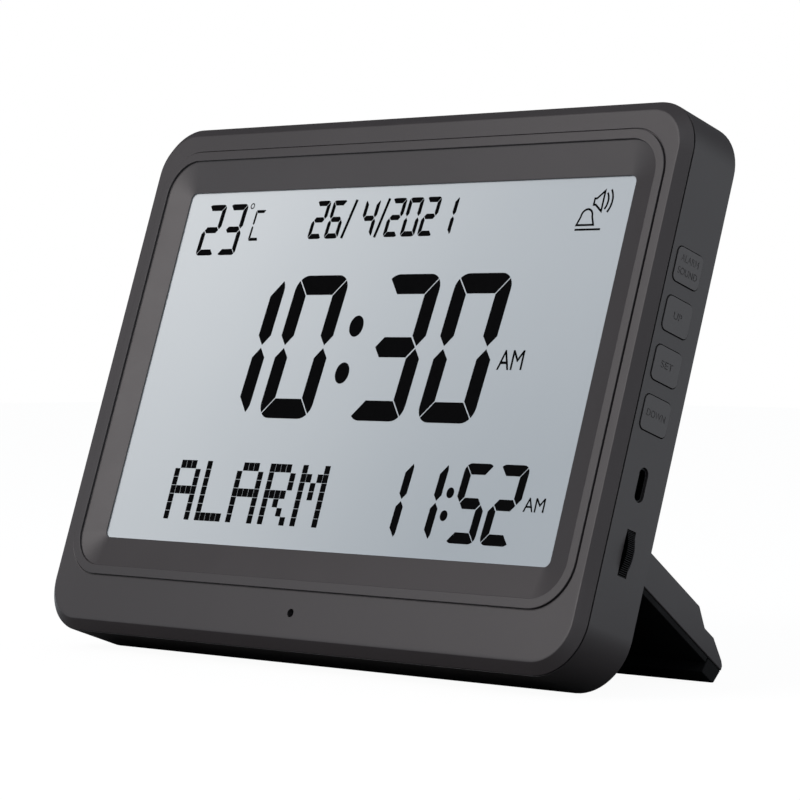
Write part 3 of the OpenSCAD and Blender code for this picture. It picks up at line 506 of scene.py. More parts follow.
# %% Dress the engineered pieces
SLOT_FINISH = {
    "case_plastic": CASE_PLASTIC,
    "dark_plastic": DARK_PLASTIC,
    "rubber_black": RUBBER,
    "foam_black": FOAM,
    "foam_pale": PALE_FOAM,
    "display_film": FILM,
    "display_glass": GLASS,
    "clear_acrylic": ACRYLIC,
    "white_plastic": WHITE_PLASTIC,
    "steel": STEEL,
    "brass": BRASS,
    "circuit_board": BOARD,
    "component_blue": SLEEVE_BLUE,
    "plunger_red": RED_PLASTIC,
    "cell_foil": FOIL,
    "lead_red": LEAD_RED,
}
# The stand's cover wears near-black rubber as painted shade: it stands in for the deep shade under the stand.
PIECE_FINISH = {"usb_socket": BLACK_STEEL, "stand_cover": RUBBER, "volume_wheel": WHEEL_PLASTIC}
NODE_SLOT = {part["node"]: part["material_slot"] for part in frame["record"]["subparts"]}
BODIES = frame["record"]["behaviour"]["bodies"]
BODY_OF = {node: body for body, nodes in BODIES.items() for node in nodes}
for node, piece in frame["nodes"].items():
    piece.data.materials.clear()
    piece.data.materials.append(PIECE_FINISH.get(node, SLOT_FINISH[NODE_SLOT[node]]))
print("dressed", len(frame["nodes"]), "pieces from", len(SLOT_FINISH), "finishes")

# %% [markdown]
# ## Soft edges on engineered pieces
# Moulded edges are never knife-sharp, and the thin highlight along them is what makes plastic
# look real. The pieces could be drawn anew, but their engineered meshes are right but for the
# edges. So a copy is welded, its flat triangles are joined into whole faces, and a narrow bevel
# goes on every sharp edge.

# %% Helpers for softened copies
WELD = 0.002 * MM
FLAT_ANGLE, BEVEL_ANGLE = math.radians(0.6), math.radians(28)


def hang(piece, like, material=None):
    """Hangs a new piece on the body of an engineered one, with the finish of that one's slot unless a finish is
    given.
    """
    piece.data.materials.clear()
    piece.data.materials.append(material or PIECE_FINISH.get(like, SLOT_FINISH[NODE_SLOT[like]]))
    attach(piece, BODY_OF[like])


def weigh_normals(piece):
    """Lets the large faces decide how light falls on the small ones beside them."""
    normals = piece.modifiers.new("normals", "WEIGHTED_NORMAL")
    normals.keep_sharp = True


def soften(piece, width, steps=3):
    """A bevel on the sharp edges, then normals that let the large faces stay flat."""
    bevel = piece.modifiers.new("edges", "BEVEL")
    bevel.width = width
    bevel.segments = steps
    bevel.limit_method = "ANGLE"
    bevel.angle_limit = BEVEL_ANGLE
    piece.data.shade_smooth()
    weigh_normals(piece)


def welded_copy(node, name):
    """The engineered mesh again, with doubles merged and coplanar triangles joined."""
    piece = bpy.data.objects.new(name, frame["nodes"][node].data.copy())
    bpy.context.scene.collection.objects.link(piece)
    mesh = bmesh.new()
    mesh.from_mesh(piece.data)
    bmesh.ops.remove_doubles(mesh, verts=mesh.verts, dist=WELD)
    bmesh.ops.dissolve_limit(mesh, angle_limit=FLAT_ANGLE, verts=mesh.verts, edges=mesh.edges)
    mesh.to_mesh(piece.data)
    mesh.free()
    return piece


print("edges over", round(math.degrees(BEVEL_ANGLE)), "degrees will be softened")

# %% [markdown]
# ## The front frame
# The bezel is one ring with a rich profile: bevel, flat face, raised lip, and a slope down to the
# window. It could be cut from a block, but carrying a profile round a rounded rectangle is a
# surface of two parameters, so it is a grid: one parameter runs round the ring and the other
# across the profile.


# %% A ring of points
def ring_points(ring, corner_steps=24):
    """A rounded rectangle at one depth: each corner's centre plus its radius times the cosine
    and sine of an angle that sweeps a quarter turn, all four corners at once."""
    x0, x1, z0, z1, radius, y = ring
    quarter = np.arange(4)[:, None] * np.pi / 2 + np.linspace(0, np.pi / 2, corner_steps)
    centre_x = np.array([x1 - radius, x0 + radius, x0 + radius, x1 - radius])[:, None]
    centre_z = np.array([z1 - radius, z1 - radius, z0 + radius, z0 + radius])[:, None]
    x = centre_x + radius * np.cos(quarter)
    z = centre_z + radius * np.sin(quarter)
    return np.stack([x.ravel(), np.full(x.size, float(y)), z.ravel()], -1)


print("a ring has", len(ring_points([0, 2, 0, 2, 1, 0])), "points")

# %% Round a profile
BEND_RINGS = 5
MAX_SHARE = 0.46
TINY = 1e-6


def rounded_profile(rings, radius):
    """Rounds a closed profile: each ring becomes a quadratic curve that leaves a radius before it,
    bends towards it and ends a radius after it, or at most near half way to its neighbour."""
    rings = np.asarray(rings, float)

    def towards(other):
        gap = np.hypot(other[:, 1] - rings[:, 1], other[:, 5] - rings[:, 5])
        share = np.minimum(np.asarray(radius) / np.maximum(gap, TINY), MAX_SHARE)
        return rings + (other - rings) * share[:, None]

    t = np.linspace(0, 1, BEND_RINGS)[:, None, None]
    before, after = towards(np.roll(rings, 1, 0)), towards(np.roll(rings, -1, 0))
    curve = (1 - t) ** 2 * before + 2 * t * (1 - t) * rings + t ** 2 * after
    return curve.transpose(1, 0, 2).reshape(-1, 6)


print("each bend of a profile gets", BEND_RINGS, "rings")


# %% Pieces from points
def shell_piece(name, points, faces):
    """A closed piece from upright points in millimetres, leaned back, with its faces outwards."""
    mesh = bpy.data.meshes.new(name)
    mesh.from_pydata(leaned(np.asarray(points) * MM).tolist(), [], faces)
    shell = bmesh.new()
    shell.from_mesh(mesh)
    bmesh.ops.recalc_face_normals(shell, faces=shell.faces)
    shell.to_mesh(mesh)
    shell.free()
    piece = bpy.data.objects.new(name, mesh)
    bpy.context.scene.collection.objects.link(piece)
    return piece


def grid_piece(name, points):
    """A piece over a grid of points that closes on itself both ways: each face joins a point to
    the next one in its row, and both to the same two in the next row."""
    rows, columns = points.shape[:2]
    row, column = np.meshgrid(np.arange(rows), np.arange(columns), indexing="ij")
    next_row, next_column = (row + 1) % rows, (column + 1) % columns
    corners = [row * columns + column, row * columns + next_column,
               next_row * columns + next_column, next_row * columns + column]
    return shell_piece(name, points.reshape(-1, 3), np.stack(corners, -1).reshape(-1, 4).tolist())


print("pieces are drawn upright, then leaned back by", round(math.degrees(LEAN), 1), "degrees")

# %% The front frame's sizes, in millimetres
FACE_SIDE, FACE_TOP, FACE_BOTTOM = 3.2, 5.4, 13.6
LIP_W, LIP_H, LIP_R, LIP_WALL = 2.8, 0.45, 10.5, 0.3
SLOPE_SIDE, SLOPE_TOP, SLOPE_BOTTOM = 8.2, 9.4, 9.1
GROOVE_W, GROOVE_D = 0.3, 0.35
RIM_D, WINDOW_D, WINDOW_EDGE, WINDOW_R = 2.5, 2.4, 0.3, 2.0
BACKING = 5.0

LIP_X = HALF_W - BEVEL_W - FACE_SIDE - LIP_W
LIP_Z0 = BEVEL_W + FACE_BOTTOM + LIP_W
LIP_Z1 = CASE_H - BEVEL_W - FACE_TOP - LIP_W
WIN_X = LIP_X - SLOPE_SIDE
WIN_Z0 = LIP_Z0 + SLOPE_BOTTOM
WIN_Z1 = LIP_Z1 - SLOPE_TOP
print("the window is", round(2 * WIN_X, 1), "by", round(WIN_Z1 - WIN_Z0, 1), "mm")


# %% The bezel
def case_ring(inset, y):
    """The case's outline taken in by an even amount."""
    return [inset - HALF_W, HALF_W - inset, inset, CASE_H - inset, CORNER_R - inset, y]


def lip_ring(grow, y):
    """The lip's inner outline, grown by an even amount."""
    return [-LIP_X - grow, LIP_X + grow, LIP_Z0 - grow, LIP_Z1 + grow, LIP_R + grow, y]


def window_ring(grow, y):
    """The window's outline, grown by an even amount."""
    return [-WIN_X - grow, WIN_X + grow, WIN_Z0 - grow, WIN_Z1 + grow, WINDOW_R + grow / 2, y]


# Each row is a ring and the radius that rounds the profile there.
PROFILE = [
    (case_ring(0, RIM_D), 0.3),
    (case_ring(BEVEL_W, 0), 0.22),
    (lip_ring(LIP_W + GROOVE_W, 0), 0.1),
    (lip_ring(LIP_W + GROOVE_W, GROOVE_D), 0.05),
    (lip_ring(LIP_W, GROOVE_D), 0.05),
    (lip_ring(LIP_W, -LIP_H), 0.22),
    (lip_ring(0, -LIP_H), 0.22),
    (lip_ring(0, LIP_WALL), 0.15),
    (window_ring(0, WINDOW_D), 0.18),
    (window_ring(0, WINDOW_D + WINDOW_EDGE), 0.05),
    (window_ring(BACKING, WINDOW_D + WINDOW_EDGE), 0.1),
    (window_ring(BACKING, RIM_D), 0.05),
]
rings = rounded_profile([ring for ring, _ in PROFILE], [radius for _, radius in PROFILE])
front = grid_piece("front_bezel", np.stack([ring_points(ring) for ring in rings]))
print("the bezel has", len(front.data.polygons), "faces over", len(rings), "rings")

# %% [markdown]
# ## The microphone's hole
# A hole is a cylinder taken away. A dark disc could stand for it, but only a real hole has depth
# from every side. Its cutter is drawn in the upright frame, leaned like the rest, and a Boolean
# applies it once, so that the finished mesh carries the hole itself.


# %% Cut with a shape
def apply_modifiers(piece):
    """Bakes a piece's modifiers into its mesh."""
    evaluated = piece.evaluated_get(bpy.context.evaluated_depsgraph_get())
    baked = bpy.data.meshes.new_from_object(evaluated)
    piece.modifiers.clear()
    piece.data = baked


def cut_away(piece, cutter):
    """Takes the cutter's space out of the piece and deletes the cutter."""
    boolean = piece.modifiers.new("cut", "BOOLEAN")
    boolean.operation = "DIFFERENCE"
    boolean.solver = "EXACT"
    boolean.object = cutter
    bpy.context.view_layer.update()
    apply_modifiers(piece)
    bpy.data.objects.remove(cutter)


def prism(shape, y0, y1):
    """Points and faces of a flat shape carried from one depth to another: the shape at both
    ends, and a face from each of its edges to the same edge at the other end."""
    count = len(shape)
    ring = np.arange(count)
    ends = [np.stack([shape[:, 0], np.full(count, float(y)), shape[:, 1]], -1) for y in (y0, y1)]
    sides = np.stack([ring, np.roll(ring, -1), np.roll(ring, -1) + count, ring + count], -1)
    return np.concatenate(ends), sides.tolist() + [ring.tolist(), (ring + count).tolist()]


def oval(x, z, half_x, half_z, steps=40):
    """An ellipse about a centre: its half widths times the cosine and sine of a full turn."""
    angle = np.arange(steps) * 2 * np.pi / steps
    return np.stack([x + half_x * np.cos(angle), z + half_z * np.sin(angle)], -1)


print("a round bar has", len(prism(oval(0, 0, 1, 1), 0, 1)[1]), "faces")

# %% The hole in the bezel
SMOOTH_ANGLE = math.radians(32)
MIC_Z, MIC_R = 10.2, 1.2
MIC_STEPS = 48
CUT_PAST = 2


def smooth_round(piece):
    """Smooth faces, apart from sharp edges, and normals that keep the large faces flat."""
    piece.data.shade_smooth()
    piece.data.set_sharp_from_angle(angle=SMOOTH_ANGLE)
    weigh_normals(piece)


mic_hole = prism(oval(0, MIC_Z, MIC_R, MIC_R, MIC_STEPS), -CUT_PAST, RIM_D + CUT_PAST)
cut_away(front, shell_piece("mic_cutter", *mic_hole))
smooth_round(front)
hang(front, "front_frame")
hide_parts("front_frame")
print("the bezel with its hole has", len(front.data.polygons), "faces")

# %% [markdown]
# ## The rear housing, the stand and the wheel
# These pieces are all flats, slots and bores, which the engineered meshes already hold. They could
# be drawn again as the bezel was, but they only need their edges softened. Each width is what
# such an edge has: finer on small parts.

# %% Soften the case and the stand
SOFT_EDGES = {
    "rear_housing": ("rear_case", 0.3, 3),
    "stand_flap": ("stand_panel", 0.35, 3),
    "stand_cover": ("stand_cover_plate", 0.2, 3),
    "stand_foot": ("foot_strip", 0.3, 3),
    "volume_wheel": ("ribbed_wheel", 0.05, 1),
}
for node, (name, width, steps) in SOFT_EDGES.items():
    piece = welded_copy(node, name)
    soften(piece, width * MM, steps)
    hang(piece, node)
    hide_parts(node)
    print(name, "has", len(piece.data.polygons), "faces before its bevel")

# %% [markdown]
# ## Flat shapes on the display
# The segments are laid out in millimetres on the glass. Each could be a list of points, but every
# segment of a digit is the same rounded outline cut by straight lines, so one function that keeps
# the part of a convex shape on one side of a line makes all of them.


# %% Convex shapes and half planes
def kept_side(points, normal, offset):
    """The part of a convex polygon where its points, dotted with the normal, exceed the offset:
    points on the far side go, and each edge that crosses the line gives one new point."""
    height = points @ np.asarray(normal, float) - offset
    ahead = np.roll(height, -1)
    crossing = (height > 0) != (ahead > 0)
    share = np.where(crossing, height / np.where(crossing, height - ahead, 1), 0)[:, None]
    met = points + (np.roll(points, -1, 0) - points) * share
    paired = np.stack([points, met], 1).reshape(-1, 2)
    return paired[np.stack([height > 0, crossing], 1).ravel()]


def round_box(width, height, radius, steps=8):
    """A rounded rectangle from the origin, as x and z."""
    return ring_points([0, width, 0, height, radius, 0], steps)[:, [0, 2]]


print("half a box has", len(kept_side(round_box(2, 2, 0.5), (1, 0), 1)), "corners")

# %% [markdown]
# ## Seven segments
# A digit is a tall rounded frame with a middle bar. Mitre lines run from the inner corners to the
# outer ones, the upright strokes come to a point at the middle, and thin gaps part them all. A
# segment font could print them, but it wouldn't have this display's rounded corners.

# %% One digit
LIT = {
    "0": "abcdef", "1": "bc", "2": "abged", "3": "abgcd", "4": "fgbc",
    "5": "afgcd", "6": "afgedc", "C": "afed",
}
POINT_GAP = 1.4
NEARLY_SHARP = 0.01


def digit_segments(symbol, width, height, upright_stroke, flat_stroke, gap, corner):
    """The lit segments of one digit, as polygons with their corner at the origin. Each is the
    outline, or for g a bar, kept on the near side of its stroke's line and of its mitre lines."""
    middle = height / 2
    outline = round_box(width, height, corner)
    lean = np.array([flat_stroke, upright_stroke]) / math.hypot(flat_stroke, upright_stroke)
    half = gap / 2
    shapes = {}
    for bar_letter, left, right, sign, edge in (("a", "f", "b", 1, height), ("d", "e", "c", -1, 0)):
        for letter, hand, side in ((left, -1, 0), (right, 1, width)):
            inward = np.array([hand * lean[0], -sign * lean[1]])
            mitre = inward @ np.array([side, edge])
            stroke = kept_side(outline, (hand, 0), hand * (side - hand * upright_stroke))
            stroke = kept_side(stroke, inward, mitre + half)
            point = np.array([side - hand * upright_stroke / 2, middle])
            for lean_side in (1, -1):
                slope = np.array([lean_side * lean[0], sign * lean[1]])
                stroke = kept_side(stroke, slope, slope @ point + half * POINT_GAP)
            shapes[letter] = stroke
        bar = kept_side(outline, (0, sign), sign * (edge - sign * flat_stroke))
        for hand, side in ((1, width), (-1, 0)):
            outward = np.array([-hand * lean[0], sign * lean[1]])
            bar = kept_side(bar, outward, outward @ np.array([side, edge]) + half)
        shapes[bar_letter] = bar
    bar = round_box(width, flat_stroke, NEARLY_SHARP, 2) + (0, middle - flat_stroke / 2)
    for hand, side in ((1, width), (-1, 0)):
        point = np.array([side - hand * upright_stroke / 2, middle])
        for sign in (1, -1):
            outward = np.array([-hand * lean[0], -sign * lean[1]])
            bar = kept_side(bar, outward, outward @ point + half * POINT_GAP)
    shapes["g"] = bar
    return [shapes[letter] for letter in LIT[symbol]]


print("segments of each symbol:", {symbol: len(lit) for symbol, lit in LIT.items()})

# %% Rows of digits and straight strokes
SLANT = 0.074


def slanted(shape, foot_x, foot_z, middle):
    """Moves a digit's shape to its place and slants it about the digit's middle height."""
    x = shape[:, 0] + foot_x + (shape[:, 1] - middle) * SLANT
    return np.stack([x, shape[:, 1] + foot_z], -1)


def number(symbols, places, foot_z, width, height, strokes, gap, corner):
    """A row of digits: each symbol stands at its own place along the glass."""
    return [
        slanted(shape, x, foot_z, height / 2)
        for symbol, x in zip(symbols, places)
        for shape in digit_segments(symbol, width, height, *strokes, gap, corner)
    ]


def stroke_line(start, end, thickness):
    """A bar of even thickness between two points."""
    start, end = np.array(start, float), np.array(end, float)
    along = (end - start) / np.linalg.norm(end - start)
    across = np.array([-along[1], along[0]]) * thickness / 2
    return np.array([start - across, end - across, end + across, start + across])


print("digits slant by", SLANT, "mm for each mm of height")

# %% [markdown]
# ## Ink on the glass
# Each shape becomes a plate a few hundredths of a millimetre thick that lies on the film. Closed
# plates keep the digits sharp from any side, where a painted texture would blur.

# %% Plates of ink
INK_LIFT, INK_THICK = 0.01, 0.03
INK_BACK = FILM_Y - INK_LIFT
INK_FRONT = INK_BACK - INK_THICK


def ink_piece(name, shapes):
    """Closed plates over the film, one for each flat shape, joined into one piece."""
    points, faces, first = [], [], 0
    for shape in shapes:
        plate, plate_faces = prism(shape, INK_FRONT, INK_BACK)
        points.append(plate)
        faces += [[first + corner for corner in face] for face in plate_faces]
        first += len(plate)
    hang(shell_piece(name, np.concatenate(points), faces), "front_polariser", INK)
    print(name, "has", len(shapes), "plates")


print("ink is", INK_THICK, "mm thick and lies", INK_LIFT, "mm off the film")

# %% The time, the date, the temperature and the alarm
BIG = dict(foot_z=66.62, width=21.2, height=43.0, strokes=(5.1, 5.9), gap=0.38, corner=4.6)
SMALL = dict(foot_z=33.4, width=10.7, height=22.3, strokes=(2.7, 3.1), gap=0.28, corner=2.3)
WARM = dict(foot_z=116.52, width=7.8, height=16.0, strokes=(1.65, 1.9), gap=0.2, corner=1.5)
DAY = dict(foot_z=120.85, width=5.75, height=11.7, strokes=(1.3, 1.6), gap=0.17, corner=1.2)
UNIT = dict(foot_z=120.8, width=4.3, height=9.6, strokes=(0.75, 0.95), gap=0.14, corner=0.6)
TIME_X = [-60.0, -34.3, 2.1, 28.8]
TIME_DOTS, TIME_DOT = [(-4.45, 94.3), (-5.65, 80.4)], (2.7, 3.15)
ALARM_X = [19.6, 32.6, 49.2, 61.7]
ALARM_DOTS, ALARM_DOT = [(46.5, 47.25), (46.0, 40.85)], (1.35, 1.5)
WARM_X, UNIT_X = [-79.6, -70.25], [-58.25]
DATE_X = [-33.1, -26.3, -12.85, -2.4, 4.35, 11.15, 18.0]
DATE_STROKES = [((-19.35, 120.85), (-16.45, 132.55)), ((-6.05, 120.85), (-3.35, 132.55))]
DATE_STROKE_W = 1.0

ink_piece("time_digits", number("1030", TIME_X, **BIG))
ink_piece("time_colon", [oval(*dot, *TIME_DOT) for dot in TIME_DOTS])
ink_piece("alarm_digits", number("1152", ALARM_X, **SMALL))
ink_piece("alarm_colon", [oval(*dot, *ALARM_DOT) for dot in ALARM_DOTS])
ink_piece("temperature_digits", number("23", WARM_X, **WARM) + number("C", UNIT_X, **UNIT))
ink_piece("date_digits", number("2642021", DATE_X, **DAY))
ink_piece("date_strokes", [stroke_line(*ends, DATE_STROKE_W) for ends in DATE_STROKES])

# %% [markdown]
# ## Dots, rings and small pictures
# The word is a matrix of blocks, five wide and seven high. Its blocks could be placed one by one,
# but written as rows of marks the letters can be read in the script. The degree ring and the
# little picture are bands: a path with an even width.

# %% The word of dots
DOT_ROWS = {
    "A": (".###.", "#...#", "#...#", "#####", "#...#", "#...#", "#...#"),
    "L": ("#....", "#....", "#....", "#....", "#....", "#....", "#####"),
    "R": ("####.", "#...#", "#...#", "####.", "#.#..", "#..#.", "#...#"),
    "M": ("#...#", "##.##", "#.#.#", "#.#.#", "#...#", "#...#", "#...#"),
}
DOT_X, DOT_Z, DOT_GAP = 2.2, 2.57, 0.13
WORD_X, WORD_TOP, LETTER_STEP = -64.95, 53.35, 13.25


def dot_word(word):
    """One block for each mark, in columns and rows of even pitch."""
    unit_square = np.array([[0, 0], [1, 0], [1, 1], [0, 1]])
    block = unit_square * (DOT_X - DOT_GAP, DOT_Z - DOT_GAP)
    return [
        block + (WORD_X + place * LETTER_STEP + column * DOT_X, WORD_TOP - (row + 1) * DOT_Z)
        for place, letter in enumerate(word)
        for row, marks in enumerate(DOT_ROWS[letter])
        for column, mark in enumerate(marks)
        if mark == "#"
    ]


ink_piece("word_dots", dot_word("ALARM"))


# %% Bands along a path
def band(path, thickness, closed=False):
    """Quads along a path: each corner is moved out and in along the mean of its two normals,
    further at a sharp corner, so that the band keeps its width."""
    path = np.asarray(path, float)
    before, after = np.roll(path, 1, 0), np.roll(path, -1, 0)
    if not closed:
        before[0] = 2 * path[0] - path[1]
        after[-1] = 2 * path[-1] - path[-2]
    step_in = (path - before) / np.linalg.norm(path - before, axis=1)[:, None]
    step_out = (after - path) / np.linalg.norm(after - path, axis=1)[:, None]
    mean = np.stack([-(step_in + step_out)[:, 1], (step_in + step_out)[:, 0]], -1)
    reach = mean * thickness / (mean * mean).sum(1)[:, None]
    outer, inner = path + reach, path - reach
    quads = np.stack([inner, np.roll(inner, -1, 0), np.roll(outer, -1, 0), outer], 1)
    return list(quads if closed else quads[:-1])


def arc(x, z, radius, start, end, steps, flatten=1.0):
    """Points along a circle's arc between two angles in degrees: its centre plus its radius times
    the cosine, flattened if asked, and the sine."""
    angle = np.radians(np.linspace(start, end, steps))
    return np.stack([x + radius * flatten * np.cos(angle), z + radius * np.sin(angle)], -1)


print("a band over a quarter turn has", len(band(arc(0, 0, 1, 0, 90, 10), 0.1)), "quads")

# %% The degree ring and the sound picture
LINE, RING_LINE = 0.58, 0.32
RING = (-60.1, 131.75, 0.72, 0.76)
HORN = [(74.2, 128.5), (74.2, 130.3), (74.9, 130.3), (77.3, 132.4), (77.3, 126.6), (74.9, 128.5)]
WAVES_FROM, WAVE_RADII, WAVE_ANGLE = (75.2, 129.5), (3.85, 5.3), 37
BELL_MIDDLE, BELL_R, BELL_FLATTEN = (72.6, 125.2), 2.1, 0.95
BELL_RIM = [(75.6, 122.8), (69.6, 122.8)]
BELL_BASE = [(69.4, 121.5), (78.4, 121.5)]

bell = np.concatenate([arc(*BELL_MIDDLE, BELL_R, 180, 0, 16, BELL_FLATTEN), BELL_RIM])
picture = band(HORN, LINE, closed=True)
for radius in WAVE_RADII:
    picture += band(arc(*WAVES_FROM, radius, -WAVE_ANGLE, WAVE_ANGLE, 12), LINE)
picture += band(bell, LINE, closed=True)
picture += [stroke_line(*BELL_BASE, LINE)]
ink_piece("degree_ring", band(oval(*RING, 24), RING_LINE, closed=True))
ink_piece("sound_picture", picture)

# %% [markdown]
# ## Lettering
# The small words have plain letters without serifs. They could be drawn stroke by stroke, but
# Blender's own font gives them as curves with a little depth. They are made into meshes first,
# then fitted to the box that the words fill, and only then moved to their place.

# %% Words fitted to a box
LETTER_WELD, LETTER_DEPTH, LETTER_STEPS = 1e-5, 0.5, 6


def word_points(text, left, low, width, height, depth):
    """A word as an upright mesh in millimetres, with its faces: each coordinate is scaled from
    the word's own box to the box that it fills."""
    curve = bpy.data.curves.new(text, "FONT")
    curve.body = text
    curve.resolution_u = LETTER_STEPS
    curve.extrude = LETTER_DEPTH
    carrier = bpy.data.objects.new(text, curve)
    bpy.context.scene.collection.objects.link(carrier)
    bpy.context.view_layer.update()
    evaluated = carrier.evaluated_get(bpy.context.evaluated_depsgraph_get())
    mesh = bpy.data.meshes.new_from_object(evaluated)
    bpy.data.objects.remove(carrier)
    shell = bmesh.new()
    shell.from_mesh(mesh)
    bmesh.ops.remove_doubles(shell, verts=shell.verts, dist=LETTER_WELD)
    points = np.array([vertex.co[:] for vertex in shell.verts])
    shell.verts.index_update()
    faces = [[vertex.index for vertex in face.verts] for face in shell.faces]
    shell.free()
    low_corner, high_corner = points.min(0), points.max(0)
    unit = (points - low_corner) / (high_corner - low_corner)
    return unit * (width, height, depth) + (left, low, 0), faces


def word_piece(name, text, left, low, width, height):
    """A word of ink on the display's film."""
    flat, faces = word_points(text, left, low, width, height, INK_THICK)
    points = np.stack([flat[:, 0], INK_FRONT + flat[:, 2], flat[:, 1]], -1)
    hang(shell_piece(name, points, faces), "front_polariser", INK)
    print(name, "has", len(faces), "faces")


word_piece("time_half", "AM", 52.7, 81.95, 9.1, 5.6)
word_piece("alarm_half", "AM", 73.75, 43.1, 7.3, 3.9)

# %% [markdown]
# ## The side buttons
# Each cap has a softened rim and a word sunk into it. The word could be printed on, but a sunken
# one catches the light. It is a cutter: it is laid on the cap's face, facing right, and taken
# away to a seventh of a millimetre.

# %% Caps with sunken words
# Each label is a word, its height above the cap's middle and its width, in millimetres.
LABELS = {
    "alarm_button": [("ALARM", 2.0, 7.4), ("SOUND", -1.5, 8.2)],
    "up_button": [("UP", 0.1, 3.4)],
    "set_button": [("SET", 0.1, 5.0)],
    "down_button": [("DOWN", 0.1, 7.6)],
}
LABEL_H, LABEL_DEEP, LABEL_REACH = 1.9, 0.14, 1.0
CAP_SOFT = 0.25


def label_cutter(text, middle_y, middle_z, width, face_x):
    """A word that stands on the cap: its left is towards the front, and it reaches into the face."""
    flat, faces = word_points(text, -width / 2, -LABEL_H / 2, width, LABEL_H, LABEL_REACH)
    out = face_x - LABEL_DEEP + flat[:, 2]
    points = np.stack([out, middle_y + flat[:, 0], middle_z + flat[:, 1]], -1)
    return shell_piece(text, points, faces)


def labelled_cap(node):
    """A cap with a soft rim, then its words cut in."""
    low, high = upright_box(node)
    piece = welded_copy(node, node.replace("button", "cap"))
    soften(piece, CAP_SOFT * MM)
    apply_modifiers(piece)
    middle_y, middle_z = (low[1] + high[1]) / 2, (low[2] + high[2]) / 2
    for text, rise_z, width in LABELS[node]:
        cut_away(piece, label_cutter(text, middle_y, middle_z + rise_z, width, high[0]))
    smooth_round(piece)
    hang(piece, node, KEY_PLASTIC)
    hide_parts(node)
    print(piece.name, "has", len(piece.data.polygons), "faces")


for node in LABELS:
    labelled_cap(node)

# %% [markdown]
# ## Floor and light
# The floor and the backdrop are white to the camera, and so to gloss and glass, while the light on the clock stays
# at a plain level. Brighter lamps could make them white too, but they would bleach the clock. A painted shadow
# keeps the strip of floor round the clock dark in its gloss, standing in for the contact shadow under a real one.
# Whatever isn't seen directly is a little cool, because the key lamp is warm, and so the shaded bevels turn
# slightly blue.


# %% Nodes that tell rays apart
class Stage(Finish):
    """The nodes of the floor or the world, which answer each kind of ray in its own way."""

    def __init__(self, tree, place):
        self.tree = tree
        self.x, self.y, self.z = self.split(self.node("TexCoord", output=place))

    def ray(self, kind):
        """1 for rays of one kind, such as Is Camera Ray, and 0 for the others."""
        path = self.tree.nodes.get("Light Path") or self.tree.nodes.new("ShaderNodeLightPath")
        return Sum(self, path.outputs[kind])

    def direct(self):
        """1 for the camera's rays and those through glass."""
        return self.ray("Is Camera Ray").at_least(self.ray("Is Transmission Ray"))


WHITE = (1.0, 1.0, 1.0)
COOL = (0.87, 0.945, 1.0)
print("white is", WHITE, "and what isn't seen directly is", COOL)

# %% The floor
FLOOR_SIZE = 6.0
FLOOR_GLOW = 0.95
FLOOR_COLOUR, FLOOR_ROUGH = 0.07, 0.9
SHADE_X, SHADE_Y = 0.08, 0.03
SHADE_NEAR, SHADE_FAR = 0.0, 0.20
half_floor = FLOOR_SIZE / 2
floor_points = [(-half_floor, -half_floor, 0), (half_floor, -half_floor, 0),
                (half_floor, half_floor, 0), (-half_floor, half_floor, 0)]
floor_mesh = bpy.data.meshes.new("floor")
floor_mesh.from_pydata(floor_points, [], [(0, 1, 2, 3)])
floor = bpy.data.objects.new("floor", floor_mesh)
bpy.context.scene.collection.objects.link(floor)
floor_material = bpy.data.materials.new("floor")
floor_material.use_nodes = True
floor_shader = floor_material.node_tree.nodes["Principled BSDF"]
floor_shader.inputs["Base Color"].default_value = (FLOOR_COLOUR, FLOOR_COLOUR, FLOOR_COLOUR, 1.0)
floor_shader.inputs["Roughness"].default_value = FLOOR_ROUGH
floor_shader.inputs["Specular IOR Level"].default_value = 0.0
ground = Stage(floor_material.node_tree, "Object")
# Painted shadow: gloss sees the floor's glow fade out towards a box round the clock.
off_x = (abs(ground.x) - SHADE_X).at_least(0.0)
off_y = (abs(ground.y) - SHADE_Y).at_least(0.0)
past_painted_shadow = (off_x * off_x + off_y * off_y).root().step(SHADE_NEAR, SHADE_FAR)
seen = ground.direct().at_least(ground.ray("Is Glossy Ray") * past_painted_shadow)
ground.feed(floor_shader.inputs["Emission Color"], ground.blend(COOL, WHITE, ground.direct()))
ground.feed(floor_shader.inputs["Emission Strength"], seen * FLOOR_GLOW)
floor_mesh.materials.append(floor_material)
print("the floor is", FLOOR_SIZE, "metres wide")

# %% [markdown]
# The backdrop is white to gloss too, apart from two grey cards that photographers hang beside dark
# things, so that bevels and slopes show different greys: a flag up on the left, behind the clock,
# and a hood round the lens. The wall behind the clock lights its back a little more than the rest.
# Real cards could be modelled, but they would shade the clock too, and these only darken its gloss.

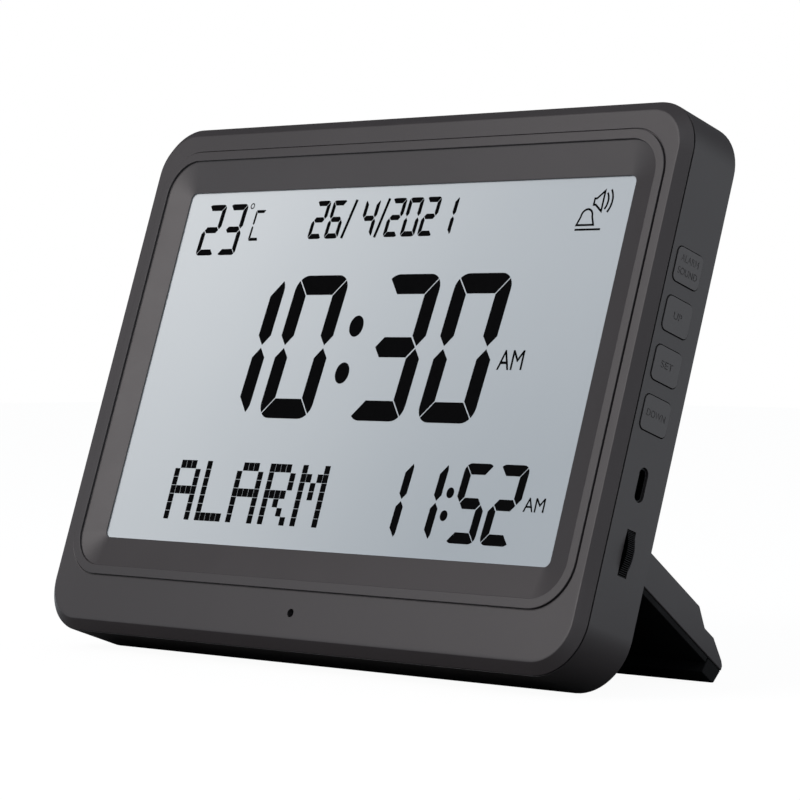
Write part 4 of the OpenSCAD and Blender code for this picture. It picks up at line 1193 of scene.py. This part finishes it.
# %% The studio around the clock
AMBIENT, REAR, REAR_FROM = 0.45, 0.9, 0.1
FLAG_WAY, FLAG_FROM, FLAG_TO, FLAG_GREY = (-0.60, 0.55, 0.58), 0.20, 0.65, 0.08
HOOD_WAY, HOOD_FROM, HOOD_TO, HOOD_GREY = (0.50, -0.85, 0.15), 0.75, 0.98, 0.4
world = bpy.data.worlds.new("studio")
world.use_nodes = True
bpy.context.scene.world = world
studio = Stage(world.node_tree, "Generated")
backdrop = world.node_tree.nodes["Background"]


def card(way, start, full, grey):
    """How much white a grey card takes away: the more, the nearer a direction is to the card's."""
    nearness = studio.x * way[0] + studio.y * way[1] + studio.z * way[2]
    return nearness.step(start, full) * (1 - grey)


flag = card(FLAG_WAY, FLAG_FROM, FLAG_TO, FLAG_GREY)
hood = card(HOOD_WAY, HOOD_FROM, HOOD_TO, HOOD_GREY)
gloss = 1 - flag.at_least(hood)
plain = studio.y.step(REAR_FROM, 1.0) * (REAR - AMBIENT) + AMBIENT
level = studio.ray("Is Glossy Ray") * (gloss - plain) + plain
direct = studio.direct()
studio.feed(backdrop.inputs["Strength"], direct * (1 - level) + level)
studio.feed(backdrop.inputs["Color"], studio.blend(COOL, WHITE, direct))
print("the world has", len(world.node_tree.nodes), "nodes")

# %% The lamps
AIM = (0.0, 0.0, 0.07)


def soft_lamp(name, place, power, size, colour):
    """A square soft lamp that faces the clock."""
    lamp = bpy.data.objects.new(name, bpy.data.lights.new(name, "AREA"))
    lamp.data.energy = power
    lamp.data.size = size
    lamp.data.color = colour
    lamp.location = place
    lamp.rotation_euler = (Vector(AIM) - Vector(place)).to_track_quat("-Z", "Y").to_euler()
    bpy.context.scene.collection.objects.link(lamp)
    print("the", name, "lamp gives", power, "watts")


soft_lamp("key", (-0.36, -0.95, 0.72), 8.8, 0.7, (1.0, 0.94, 0.93))
soft_lamp("fill", (1.0, 0.30, 0.32), 2.4, 0.5, (1.0, 0.98, 0.98))
bpy.context.scene.view_settings.view_transform = "Standard"
